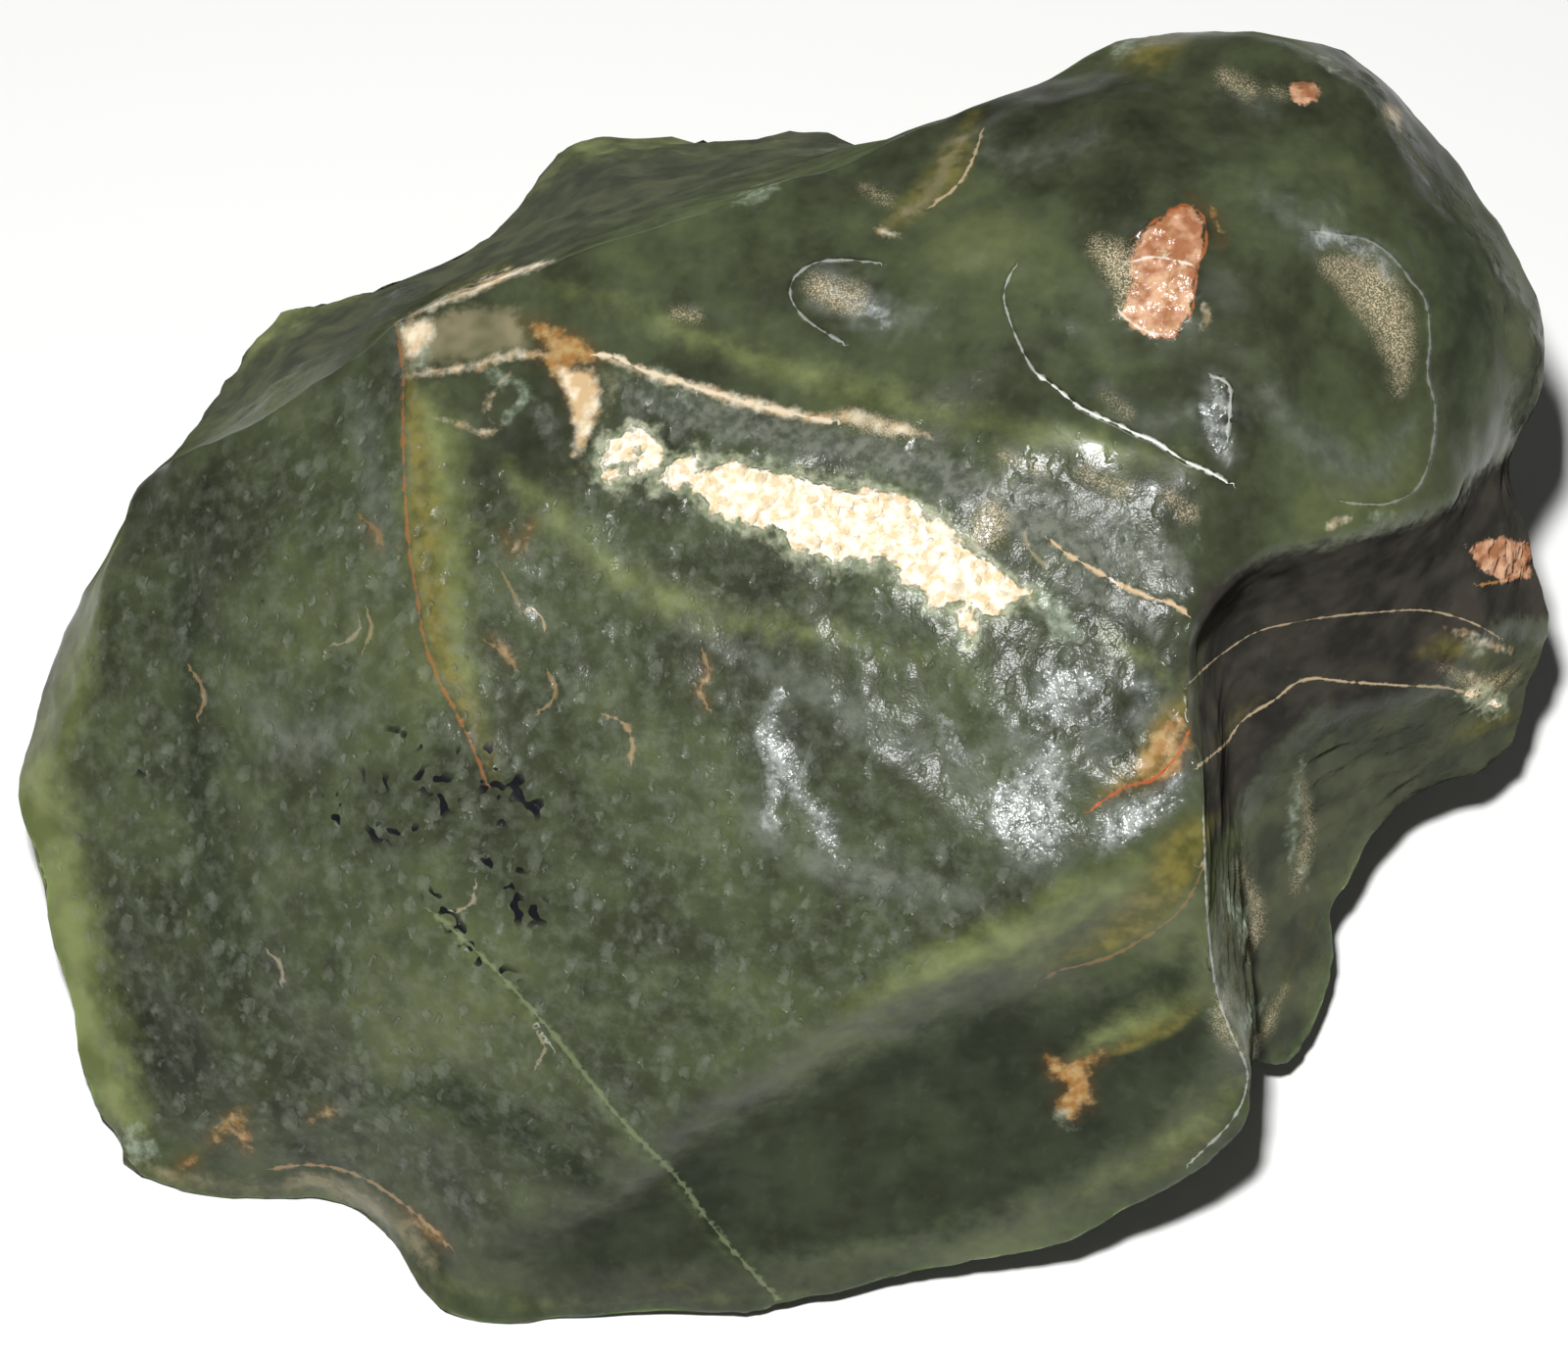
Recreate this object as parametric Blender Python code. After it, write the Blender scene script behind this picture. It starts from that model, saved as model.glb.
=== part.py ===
"""Raw jade boulder: one natural lump of green nephrite, about 200 mm long, broken and then river-worn.

The stone is drawn by its lines: keen broken edges, soft ridges, creases, the turn of its foot and a few
points inside each facet. A hull over all of them gives the facets. A finer grid is laid on the facets
with its vertices drawn onto the lines, and wearing that grid rounds everything but the keen edges.
Scallops and ledges are worn in last, and the underside is cut flat where the stone rests.

Lines on the broad worn face are in millimetres as (across, up, out) from the middle of that face, which
leans back by FACE_LEAN. Lines on the back and the underside are in millimetres over the ground.
"""

import math
from collections import namedtuple

import bmesh
import bpy
import numpy as np
from mathutils import Vector
from mathutils.bvhtree import BVHTree
from mathutils.kdtree import KDTree

MM = 0.001

# Driving dimensions, in millimetres and degrees
FACE_LEAN = math.radians(62)  # the worn face's outward direction rises this far above level
FACE_HEIGHT = 54.0  # the middle of the worn face's survey over the ground
FACE_FORWARD = 13.8  # the same point in front of the stone's own middle
SIGHT = 900.0  # marks on the worn face are placed as seen from this far in front of its middle
HEART = (2.0, -9.8, 44.0)  # a point inside, from which the whole surface can be seen
LINE_SPACING = 3.0  # between points along a drawn line
SMALLEST_TURN = math.radians(1.3)  # nearer lines than this, seen from the heart, share their points
GRID_CUTS = 71  # each side of the grid's cube is cut this often
SNAP_SPACING = 0.4
KEEN_FROM = 0.45  # lines at least this keen hold the grid's vertices
KEEN_REACH = 2.2  # how far a keen edge resists wear
WEAR_PASSES = 160
WEAR_IN, WEAR_OUT = 0.5, -0.51  # rounding a step in and a slightly longer step out keeps the size
LAST_PASSES = 2  # plain rounding at the end, which takes the burr off the keen edges
LAST_GIVE = 0.25
REST_CUT = 0.6  # how much of the underside is ground away to make the resting face
TRIANGLES = 9200

JADE_COLOUR = (0.062, 0.078, 0.040, 1.0)
JADE_ROUGHNESS = 0.32

Line = namedtuple("Line", "keenness points")
Scallop = namedtuple("Scallop", "across up half_width half_height turn depth brink")
Ledge = namedtuple("Ledge", "height fade points")

# Edges, ridges and creases of the worn face: (across, up, out)
FACE_LINES = {
    "top ridge": Line(0.95, [
        (-79, 28.5, -12), (-70.5, 32, -8), (-63, 36.5, -4), (-55, 41, 0), (-48.5, 45.5, 4),
        (-43.5, 48, 5), (-37, 50, 6), (-31.5, 51.5, 8), (-26, 54, 9), (-20, 56, 9), (-12.5, 58.5, 8),
        (-5, 61, 7), (2.5, 63.5, 5), (8.5, 66, 3), (15, 69, 1), (24, 73, -1), (30, 75.5, -2),
        (35, 78, -3), (41.5, 81.5, -5), (48, 83, -7), (55.5, 83.5, -8)]),
    "head brow": Line(0.6, [
        (55, 82.5, -4), (62.5, 81.5, -1), (67.5, 78.5, 1), (74, 75, 2), (75.5, 72.5, 3), (78, 67.5, 3),
        (81.5, 63, 3), (85.5, 57.5, 3), (88.5, 54, 2), (91, 50, 1), (93, 46, 0), (95.5, 43, -2),
        (97.5, 41.5, -5)]),
    "head rim": Line(0.9, [
        (61, 83.5, -10), (67, 82.5, -11), (71, 82, -12), (74, 80, -12), (77.5, 77, -12),
        (82.5, 72, -12), (86, 68, -12), (89, 64, -12), (92, 59, -12), (95, 54, -12), (97.5, 49.5, -12),
        (98.5, 43, -11), (97.5, 37, -10), (96, 33, -10), (94.5, 30.5, -10), (92.5, 26, -10)]),
    "left rim": Line(0.9, [
        (-79, 28.5, -14), (-82.5, 26.5, -16), (-85, 24, -17), (-86.5, 18.5, -17), (-88.5, 13, -17)]),
    "left fold": Line(0.6, [(-88, 13, -15), (-89.5, 6.5, -16), (-91.5, 0, -17), (-93.5, -6, -18),
                            (-94.5, -14, -18)]),
    "left lobe": Line(0.9, [
        (-92, 11, -26), (-94.5, 6, -27), (-97, -1, -27), (-100, -11.5, -26), (-100, -16.5, -25),
        (-98.5, -22, -24), (-96, -32.5, -24), (-93.5, -42.5, -25), (-91, -53.5, -26), (-88, -61, -28)]),
    "foot bevel": Line(0.7, [
        (-87.5, -60.5, -25), (-81.5, -61.5, -23), (-76, -62.5, -21), (-69, -63.5, -20),
        (-61.5, -64, -19), (-56, -65.5, -18), (-51, -68.5, -17), (-47, -72, -16), (-44.5, -75, -16)]),
    "foot rim": Line(0.9, [
        (-87, -63.5, -26), (-81.5, -66, -25), (-75.5, -67.5, -24.5), (-69.5, -68, -24),
        (-62.5, -68, -24), (-57, -69, -23.5), (-52.5, -72, -22), (-49.5, -75.5, -20), (-47, -80, -18),
        (-44, -82.5, -17), (-38, -83.5, -16), (-27, -83, -16), (-17.5, -82.5, -15.5), (-9, -82, -15),
        (0, -81, -14), (8.5, -79, -13.5), (17, -77, -12.5), (25.5, -75, -11), (33, -73.5, -9),
        (39, -71, -6), (45, -67, -3), (50.5, -64, -1), (55, -60.5, 2), (58, -57, 5), (59.5, -54, 7),
        (59.5, -51, 8)]),
    "right edge": Line(1.0, [
        (50, 10.5, 33), (50, 6, 33), (49.5, 1.5, 33), (50, -6, 33.5), (51, -10.5, 33.5),
        (51.5, -16.5, 33), (52, -23, 31), (52, -29, 28), (52.5, -33, 26), (54, -39, 22), (56, -44, 18),
        (58.5, -48, 13), (59.5, -51, 8)]),
    "head chin": Line(0.7, [
        (50, 10.5, 33), (52, 12.5, 32), (56.5, 15, 30), (61.5, 16.5, 28), (66.5, 17.5, 26),
        (71.5, 19, 23), (76, 20, 20), (79.5, 21, 17), (82.5, 22, 14), (85, 23, 12), (86.5, 25, 9),
        (87.5, 28, 6), (90, 29.5, 1), (93.5, 30, -6)]),
    "neck valley": Line(0.3, [(92.5, 26, -10), (90, 24.5, -3), (86.5, 21.5, 4)]),
    "lobe rim": Line(0.9, [
        (93, 26, -12), (94.5, 22.5, -15), (97, 19.5, -19), (98, 15, -22), (99.5, 11, -25),
        (100.5, 6.5, -27), (99.5, 2.5, -28), (98, -1.5, -29), (97.5, -5.5, -30), (96.5, -10, -31),
        (94.5, -11, -31), (90.5, -12, -30), (86.5, -13.5, -29), (84, -14, -28), (80.5, -16.5, -28),
        (78, -19, -27), (76.5, -21.5, -27), (75, -25.5, -27), (73, -28, -27), (71, -30.5, -26),
        (72, -34, -28), (72, -40, -28), (71, -42.5, -28), (69.5, -46, -27), (67, -49.5, -26),
        (64, -51, -24)]),
    "yellow step": Line(0.9, [
        (-48.5, 45.5, 4), (-48, 38.5, 7.5), (-48, 32.5, 10), (-48, 23.5, 12), (-47, 16, 13.5),
        (-46, 10, 14.5), (-44.5, 4.5, 15), (-42.5, -2.5, 16), (-40, -6.5, 16.5), (-37, -10.5, 17.5)]),
    "cream line": Line(0.6, [
        (-48, 38, 7.5), (-43.5, 39, 10), (-37, 40, 12), (-31.5, 41, 13), (-24.5, 40.5, 15.5),
        (-14.5, 37.5, 18.5), (-6, 35, 21), (0, 33, 22.5), (6, 31.5, 24.5), (12, 30.5, 26),
        (18, 29.5, 27.5), (25.5, 28, 29.5)]),
    "neck ridge": Line(0.25, [
        (-24.5, 50, 12), (-12.5, 47.5, 15.5), (-5, 42.5, 18), (0, 39, 20), (6, 36, 22.5), (12, 34, 25),
        (19.5, 32.5, 27), (24, 30.5, 28.5), (31.5, 27.5, 30.5), (40, 25, 31.5), (48, 23, 32)]),
    "crust foot": Line(0.1, [
        (-29.5, 26, 17), (-19.5, 26, 20.5), (-12, 23, 23.5), (-5, 21, 25.5), (2.5, 17.5, 28), (9.5, 14, 30),
        (17, 11, 31.5), (24, 8.5, 32), (30, 6, 33)]),
    "flake edge": Line(0.4, [(33, 16.5, 32.5), (37.5, 13.5, 33), (41, 11.5, 33), (45.5, 9.5, 33),
                             (49.5, 8, 33)]),
    "keel": Line(0.35, [
        (51.5, -14.5, 33.5), (43.5, -20.5, 34.5), (36, -25, 33.5), (24, -32, 30), (12, -39, 26.5),
        (0, -46, 21), (-12.5, -54, 14), (-20, -59.5, 8), (-27.5, -65.5, 1), (-35.5, -72, -7),
        (-40.5, -77, -13)]),
    "back lobe rim": Line(0.9, [
        (-80, 30.5, -30), (-77, 35, -34), (-73, 42, -38), (-68.5, 48, -40), (-64, 50.5, -42),
        (-59, 51.5, -42), (-53, 52.5, -42), (-47, 55, -43), (-42, 57.5, -45), (-38, 61, -48),
        (-35.5, 64, -52), (-32.5, 69, -56), (-29.5, 72.5, -58), (-24, 74, -60), (-13.5, 74, -60),
        (-5.5, 73, -58), (4, 74, -54), (7.5, 73, -50), (10.5, 71, -45)]),
}

# Points inside the facets, which give each its own bulge or hollow: (across, up, out)
FACET_POINTS = {
    "left facet": [
        (-69, 16.5, 0), (-58, 16.5, 8), (-78, 6.5, -8), (-69, -1, -1), (-57, -1, 9), (-45.5, -11, 16),
        (-82.5, -14, -13), (-69, -20, -3), (-56, -19.5, 7), (-44.5, -23, 14), (-85.5, -33, -17),
        (-69, -39, -6), (-56, -38.5, 3), (-43.5, -38, 10), (-79, -52, -17), (-66, -54, -11),
        (-53, -55, -6), (-41.5, -57.5, -1), (-32, -48, 9)],
    "central facet": [
        (-37, 29.5, 14.5), (-39, 16, 17), (-29.5, 16, 19.5), (-29, 1.5, 20), (-17, 8.5, 23.5),
        (-17, -8.5, 23.5), (-24.5, -23, 20), (-5, -1, 27), (-5, -20.5, 26.5), (-12, -35, 22),
        (-24.5, -38, 17), (7, 4, 30), (7, -13, 30), (7, -27.5, 28.5), (19, -3.5, 32), (19.5, -20.5, 32),
        (31, -3.5, 33.5), (31.5, -15.5, 34), (41, -1, 34), (41, -13, 34.5), (-19.5, -49, 14)],
    "lower facet": [
        (42.5, -32.5, 23), (46.5, -45, 14), (36.5, -37.5, 20), (30.5, -48, 11), (43.5, -56.5, 5),
        (19.5, -45, 14), (18.5, -55.5, 5), (30, -60.5, 2), (6, -53, 9), (6, -63.5, 0),
        (17.5, -67.5, -3), (-7.5, -60.5, 4), (-7.5, -71.5, -7), (-21.5, -70, -5), (-21.5, -77, -11),
        (-33, -78.5, -13.5)],
    "neck": [(-19.5, 44.5, 14.5), (-10, 40.5, 17.5), (0, 36, 21), (9.5, 32.5, 25)],
    "grey band": [
        (-42, 33.5, 13.5), (-34.5, 33.5, 15.5), (-19.5, 32.5, 18.5), (-9.5, 29.5, 22.5), (0, 26, 25.5),
        (9.5, 23, 27.5), (19.5, 20.5, 30), (29, 18, 31), (39.5, 18, 32)],
    "head": [
        (-15, 53, 11), (-2.5, 56.5, 12), (-2.5, 48, 16.5), (10, 61, 9), (10, 47.5, 19.5), (20, 66, 7),
        (19.5, 54, 18), (19.5, 41.5, 24), (32.5, 72.5, 5), (32, 60, 17), (31.5, 47.5, 24.5),
        (31.5, 35, 28.5), (42.5, 76, 4), (43, 66.5, 15.5), (43.5, 54.5, 23.5), (43.5, 42.5, 28),
        (43.5, 31.5, 31), (57, 76, 4), (56.5, 65, 16), (55.5, 52.5, 24.5), (55.5, 41, 28.5),
        (55.5, 29, 31), (55.5, 19.5, 31), (68, 70.5, 9), (67.5, 60, 17.5), (67, 47.5, 23),
        (66.5, 35.5, 25.5), (66.5, 24.5, 26.5), (77.5, 58, 11.5), (78.5, 48, 15.5), (78.5, 35.5, 17.5),
        (76, 24.5, 20), (88, 46, 7), (89.5, 36, 5), (84, 30, 12)],
    "right wall": [
        (54.5, 8, 15), (56, 0, 6), (57, -8.5, -2), (58.5, -17.5, -9), (59.5, -26.5, -14),
        (61.5, -39.5, -19), (63, -46.5, -21), (63.5, 12.5, 20), (64.5, 6.5, 8), (65, -1, -1),
        (67, -8.5, -9), (67.5, -19, -17), (73.5, 16, 16), (74.5, 10, 5), (75.5, 1.5, -5), (76, -6, -13),
        (75, -14, -21), (83, 19.5, 9), (85, 14, -1), (87, 6.5, -9), (88, -1, -16), (87.5, -8, -24),
        (92, 19, -7), (94, 11.5, -14), (95.5, 1.5, -22), (68, -26.5, -22), (68, -39.5, -25)],
    "back slope": [
        (-64.5, 44, -30), (-51.5, 50, -30), (-41, 53.5, -26), (-31, 59.5, -26), (-20.5, 63.5, -28),
        (-10.5, 66, -28), (0, 68, -26), (-13, 70.5, -48), (-23.5, 70, -48)],
}

# Lines over the ground, for the back and the underside: (right, behind, high)
GROUND_LINES = {
    "back brow": Line(0.4, [
        (12, 62, 56), (30, 63, 60), (48, 67, 62), (62, 69, 62), (72, 66, 58), (81, 54, 54),
        (88, 40, 50), (93, 22, 46)]),
    "back wall": Line(0.2, [
        (-88, 8, 12), (-70, 36, 14), (-44, 62, 16), (-10, 72, 18), (24, 70, 22), (54, 68, 24),
        (76, 50, 24), (88, 22, 20), (86, -8, 14)]),
    "left foot": Line(0.3, [(-94, -8, 13), (-89, -28, 6), (-83, -44, 2)]),
    "right foot": Line(0.3, [(64, -40, 12), (52, -58, 14), (36, -70, 9)]),
    "belly": Line(0.2, [
        (-74, -38, 2.5), (-54, -58, 3), (-16, -66, 3), (20, -60, 4.5), (46, -42, 6.5), (62, -16, 8),
        (68, 10, 9), (58, 36, 9), (30, 52, 8), (-6, 54, 7), (-38, 42, 7), (-62, 18, 7), (-76, -12, 5),
        (-74, -38, 2.5)]),
    "resting rim": Line(0.5, [
        (-44, -30, 0), (-26, -40, 0), (0, -42, 0), (22, -34, 0), (34, -18, 0), (38, 2, 0),
        (30, 18, 0), (10, 26, 0), (-14, 24, 0), (-34, 14, 0), (-46, -6, 0), (-44, -30, 0)]),
}
GROUND_POINTS = [(0, -12, -1.5), (-24, -4, -1.5), (20, -4, -1.5), (-10, -28, -1.5), (0, 10, -1.5)]

# Shallow shell-shaped hollows on the worn face, placed as seen and all in millimetres but the turn, which
# is in degrees. The brink is the power that shapes the side: 1 for a sharp rim, 2 for a soft one
SCALLOPS = [
    Scallop(7.7, 48.3, 7.4, 4.8, 8, 1.0, 1.0),
    Scallop(45, 44, 19, 14, -28, 1.9, 1.1),
    Scallop(73, 39, 9.5, 17, 6, 1.7, 1.1),
    Scallop(54.6, 31.5, 2.8, 6.6, 12, 0.7, 1.0),
    Scallop(1.6, -8.6, 4.5, 9, -14, 0.8, 1.5),
    Scallop(6.5, -19.8, 3.6, 5.5, -20, 0.7, 1.5),
    Scallop(36, -2, 6, 4.5, 25, 0.5, 2.0),
    Scallop(31, -14, 7, 9, 30, 0.6, 2.0),
    Scallop(46, -16.5, 6.5, 4.0, 35, 0.7, 1.4),
    Scallop(-53, 28, 2.5, 5, 10, 0.5, 1.5),
    Scallop(8, 25.5, 10, 3, -16, 0.5, 1.5),
    Scallop(26.5, 19.5, 3.4, 4.6, -10, 0.4, 2.0),
    Scallop(30, 66, 6, 4, 30, 0.5, 1.5),
    Scallop(62, 68, 6, 4, -30, 0.5, 1.5),
    Scallop(-70, -20, 12, 16, 20, 0.6, 1.5),
    Scallop(-60, -48, 10, 8, 10, 0.5, 1.5),
]

# Broken steps, placed as seen: the side on the left of the run stands higher by the height, and fades
# back from its brink over the fade
LEDGES = [
    Ledge(0.9, 9.0, [(-1, -79), (-4, -76), (-9, -70.5), (-14, -63.5), (-20, -57.5), (-25, -51),
                     (-30, -45), (-35, -39), (-40, -34), (-45, -30)]),
    Ledge(1.3, 10.0, [(-49.5, 44.5), (-48.5, 32.5), (-48.5, 21.5), (-47, 11), (-45, 2.5), (-42, -3.5),
                      (-38, -13.5)]),
    Ledge(1.0, 7.0, [(32.5, -39), (38, -37), (45, -34), (50.5, -30), (53, -24.5)]),
    Ledge(0.6, 6.0, [(51, 8.5), (47, 10), (42, 12), (36.5, 15.5), (34, 17.5)]),
]


def face_axes():
    """The worn face's across, up and out directions over the ground."""
    sine, cosine = math.sin(FACE_LEAN), math.cos(FACE_LEAN)
    return np.array([(1.0, 0.0, 0.0), (0.0, sine, cosine), (0.0, -cosine, sine)])


def face_to_ground(points):
    return np.array(points, float) @ face_axes() + (0.0, -FACE_FORWARD, FACE_HEIGHT)


def ground_to_face(points):
    return (points - (0.0, -FACE_FORWARD, FACE_HEIGHT)) @ face_axes().T


def as_seen(on_face):
    """Where points show on the plane through the worn face's middle, from the sight point."""
    return on_face[:, :2] * (SIGHT / (SIGHT - on_face[:, 2]))[:, None]


def smooth_run(points, spacing):
    """Points at most the spacing apart along a smooth curve through the given ones."""
    points = np.array(points, float)
    closed = np.allclose(points[0], points[-1])
    before = points[-2] if closed else points[0]
    after = points[1] if closed else points[-1]
    ends = np.vstack([before, points, after])
    run = []
    for a, b, c, d in zip(ends, ends[1:], ends[2:], ends[3:]):
        count = max(1, math.ceil(np.linalg.norm(c - b) / spacing))
        t = (np.arange(count) / count)[:, None]
        run.append(
            (2 * t**3 - 3 * t**2 + 1) * b + (t**3 - 2 * t**2 + t) * (c - a) / 2
            + (3 * t**2 - 2 * t**3) * c + (t**3 - t**2) * (d - b) / 2
        )
    if not closed:
        run.append(points[-1:])
    return np.vstack(run)


def survey():
    """Every line and group of points of the stone, over the ground, with its keenness."""
    lines = [
        Line(line.keenness, smooth_run(face_to_ground(line.points), LINE_SPACING))
        for line in FACE_LINES.values()
    ]
    lines += [
        Line(line.keenness, smooth_run(line.points, 2 * LINE_SPACING))
        for line in GROUND_LINES.values()
    ]
    lines += [Line(0.0, face_to_ground(points)) for points in FACET_POINTS.values()]
    lines.append(Line(0.0, np.array(GROUND_POINTS, float)))
    return lines


def directions_of(points):
    rays = points - HEART
    return rays / np.linalg.norm(rays, axis=1, keepdims=True)


def facets_over(lines):
    """The flat facets between the lines: their directions' convex hull, with each point put in place."""
    points = np.vstack([line.points for line in lines])
    keenness = np.concatenate([np.full(len(line.points), line.keenness) for line in lines])
    directions = directions_of(points)
    chosen = []
    for index in np.argsort(-keenness, kind="stable"):
        if not chosen or (directions[chosen] @ directions[index]).max() < math.cos(SMALLEST_TURN):
            chosen.append(index)
    bm = bmesh.new()
    source = bm.verts.layers.int.new("source")
    for index in chosen:
        bm.verts.new(directions[index])[source] = int(index)
    bmesh.ops.convex_hull(bm, input=bm.verts)
    for vertex in bm.verts:
        vertex.co = points[vertex[source]]
    facets = BVHTree.FromBMesh(bm)
    bm.free()
    return facets


def direction_grid():
    """A cube cut into a fine grid and blown up to a sphere: its directions, faces and edges."""
    bm = bmesh.new()
    bmesh.ops.create_cube(bm, size=2)
    bmesh.ops.subdivide_edges(bm, edges=bm.edges, cuts=GRID_CUTS, use_grid_fill=True)
    directions = np.tan(np.array([vertex.co for vertex in bm.verts]) * math.pi / 4)
    directions /= np.linalg.norm(directions, axis=1, keepdims=True)
    bm.verts.index_update()
    faces = np.array([[vertex.index for vertex in face.verts] for face in bm.faces])
    edges = np.array([[vertex.index for vertex in edge.verts] for edge in bm.edges])
    bm.free()
    return directions, faces, edges


def averaged(values, edges):
    """For each grid vertex, the mean of its neighbours' values."""
    count = len(values)
    degree = np.bincount(edges.ravel(), minlength=count)
    sums = np.empty_like(values)
    for axis in range(3):
        sums[:, axis] = np.bincount(edges[:, 0], values[edges[:, 1], axis], count)
        sums[:, axis] += np.bincount(edges[:, 1], values[edges[:, 0], axis], count)
    return sums / degree[:, None]


def nearest_tree(points):
    tree = KDTree(len(points))
    for index, point in enumerate(points):
        tree.insert(point, index)
    tree.balance()
    return tree


def draw_onto_lines(directions, edges, lines):
    """Turns the grid's nearest vertices onto the keen lines, and lets the rest follow a little."""
    tree = nearest_tree(directions)
    held = {}
    for line in lines:
        if line.keenness < KEEN_FROM:
            continue
        for ray in directions_of(smooth_run(line.points, SNAP_SPACING)):
            _, index, distance = tree.find(ray)
            if index not in held or distance < held[index][0]:
                held[index] = (distance, ray)
    indices = list(held)
    rays = np.array([held[index][1] for index in indices])
    for _ in range(6):
        directions += 0.5 * (averaged(directions, edges) - directions)
        directions[indices] = rays
    return directions / np.linalg.norm(directions, axis=1, keepdims=True)


def laid_on(facets, directions):
    heart = Vector(HEART)
    far = 400.0
    return np.array([facets.ray_cast(heart + far * ray, -ray)[0] for ray in map(Vector, directions)])


def resistance(points, lines):
    """How much each point resists wear: its nearest line's keenness, falling off with distance."""
    drawn = [line for line in lines if line.keenness > 0]
    tree = nearest_tree(np.vstack([line.points for line in drawn]))
    keenness = np.concatenate([np.full(len(line.points), line.keenness) for line in drawn])
    held = np.zeros(len(points))
    for index, point in enumerate(points):
        for _, near, distance in tree.find_n(point, 3):
            held[index] = max(held[index], keenness[near] * math.exp(-((distance / KEEN_REACH) ** 2)))
    return held


def worn(points, edges, held):
    """Rounds the stone where nothing resists, without shrinking it."""
    give = (1 - held)[:, None]
    for _ in range(WEAR_PASSES):
        for step in (WEAR_IN, WEAR_OUT):
            points = points + step * give * (averaged(points, edges) - points)
    give = np.maximum(give, LAST_GIVE)
    for _ in range(LAST_PASSES):
        points = points + WEAR_IN * give * (averaged(points, edges) - points)
    return points


def split(faces, points):
    """Parts each four-sided face along the diagonal that stands further out, so that ridges stay whole."""
    out = np.linalg.norm(points - HEART, axis=1)
    first = out[faces[:, 0]] + out[faces[:, 2]] > out[faces[:, 1]] + out[faces[:, 3]]
    turned = np.where(first[:, None], faces, np.roll(faces, -1, axis=1))
    return np.vstack([turned[:, [0, 1, 2]], turned[:, [0, 2, 3]]])


def normals_of(points, faces):
    corners = points[faces]
    cross = np.cross(corners[:, 2] - corners[:, 0], corners[:, 3] - corners[:, 1])
    normals = np.zeros_like(points)
    for corner in range(4):
        np.add.at(normals, faces[:, corner], cross)
    return normals / np.linalg.norm(normals, axis=1, keepdims=True)


def scallop_depths(seen):
    """How deep the scallops are below each point, given as seen."""
    depth = np.zeros(len(seen))
    for scallop in SCALLOPS:
        turn = math.radians(scallop.turn)
        across = seen[:, 0] - scallop.across
        up = seen[:, 1] - scallop.up
        along = (across * math.cos(turn) + up * math.sin(turn)) / scallop.half_width
        over = (up * math.cos(turn) - across * math.sin(turn)) / scallop.half_height
        depth += scallop.depth * np.clip(1 - along**2 - over**2, 0, None) ** scallop.brink
    return depth


def ledge_heights(seen):
    """How high the ledges lift each point: a step up across the run, fading back from its brink."""
    height = np.zeros(len(seen))
    for ledge in LEDGES:
        run = smooth_run(ledge.points, LINE_SPACING)
        gaps = np.linalg.norm(seen[:, None] - run[None], axis=2)
        near = np.clip(gaps.argmin(axis=1), 1, len(run) - 2)
        along = run[near + 1] - run[near - 1]
        along /= np.linalg.norm(along, axis=1, keepdims=True)
        offset = seen - run[near]
        inland = along[:, 0] * offset[:, 1] - along[:, 1] * offset[:, 0]
        past_end = np.abs((along * offset).sum(axis=1))
        step = 0.5 + 0.5 * np.tanh(inland / 0.7)
        taper = np.sin(math.pi * (near + 0.5) / len(run)) ** 0.5
        fade = np.exp(-np.clip(inland, 0, None) / ledge.fade - past_end / 2.0)
        height += ledge.height * step * taper * fade
    return height


def jade():
    material = bpy.data.materials.new("nephrite jade")
    material.use_nodes = True
    shader = material.node_tree.nodes["Principled BSDF"]
    shader.inputs["Base Color"].default_value = JADE_COLOUR
    shader.inputs["Roughness"].default_value = JADE_ROUGHNESS
    shader.inputs["Metallic"].default_value = 0.0
    shader.inputs["IOR"].default_value = 1.61
    return material


def resting_cutter():
    """A block below the ground, which cuts the underside flat."""
    bpy.ops.mesh.primitive_cube_add(size=0.4, location=(0, 0, -0.2))
    cutter = bpy.context.object
    cutter.name = "ground_cutter"
    cutter.display_type = "WIRE"
    cutter.hide_render = True
    return cutter


def boulder():
    lines = survey()
    directions, faces, edges = direction_grid()
    directions = draw_onto_lines(directions, edges, lines)
    points = laid_on(facets_over(lines), directions)
    points = worn(points, edges, resistance(points, lines))
    seen = as_seen(ground_to_face(points))
    normals = normals_of(points, faces)
    facing = np.clip(3 * (normals @ face_axes()[2]) - 0.3, 0, 1)
    lift = facing * (ledge_heights(seen) - scallop_depths(seen))
    points += lift[:, None] * normals
    points[:, 2] -= REST_CUT
    mesh = bpy.data.meshes.new("boulder")
    mesh.from_pydata((points * MM).tolist(), [], split(faces, points).tolist())
    mesh.shade_smooth()
    mesh.materials.append(jade())
    stone = bpy.data.objects.new("boulder", mesh)
    bpy.context.collection.objects.link(stone)
    thin = stone.modifiers.new("fewer facets", "DECIMATE")
    thin.ratio = TRIANGLES / len(mesh.polygons)
    rest = stone.modifiers.new("resting face", "BOOLEAN")
    rest.operation = "DIFFERENCE"
    rest.solver = "EXACT"
    rest.object = resting_cutter()
    return stone


def main():
    for item in list(bpy.data.objects):
        bpy.data.objects.remove(item)
    boulder()


if __name__ == "__main__":
    main()
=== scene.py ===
"""Dresses the raw jade boulder: a river-worn lump of green nephrite, about 200 mm long.

The stone's form is drawn as its maker would draw it: keen broken edges, soft ridges, creases and a few
points inside each facet. A hull over them gives the facets, a fine grid of directions is laid on the
facets, and wearing the grid rounds all but the keen edges. Scallops, steps, pits and lumps are then worn
in, and the stone's markings are measured on the surface for its one material to colour. Some markings
are painted light: painted shade on the lower facet, a painted glow on thin rims, and painted sheen and
highlights on the bruised patches, pits and scallop rims.

Lengths are in millimetres until a mesh or a lamp is made. A point of the worn face is (across, up, out)
from the middle of that face. A "seen" point is (across, up) as it looks from the sight point, straight
out from the middle of the face.
"""

import logging
import math
from collections.abc import Sequence
from dataclasses import dataclass, field
from enum import Enum
from typing import Any

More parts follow.
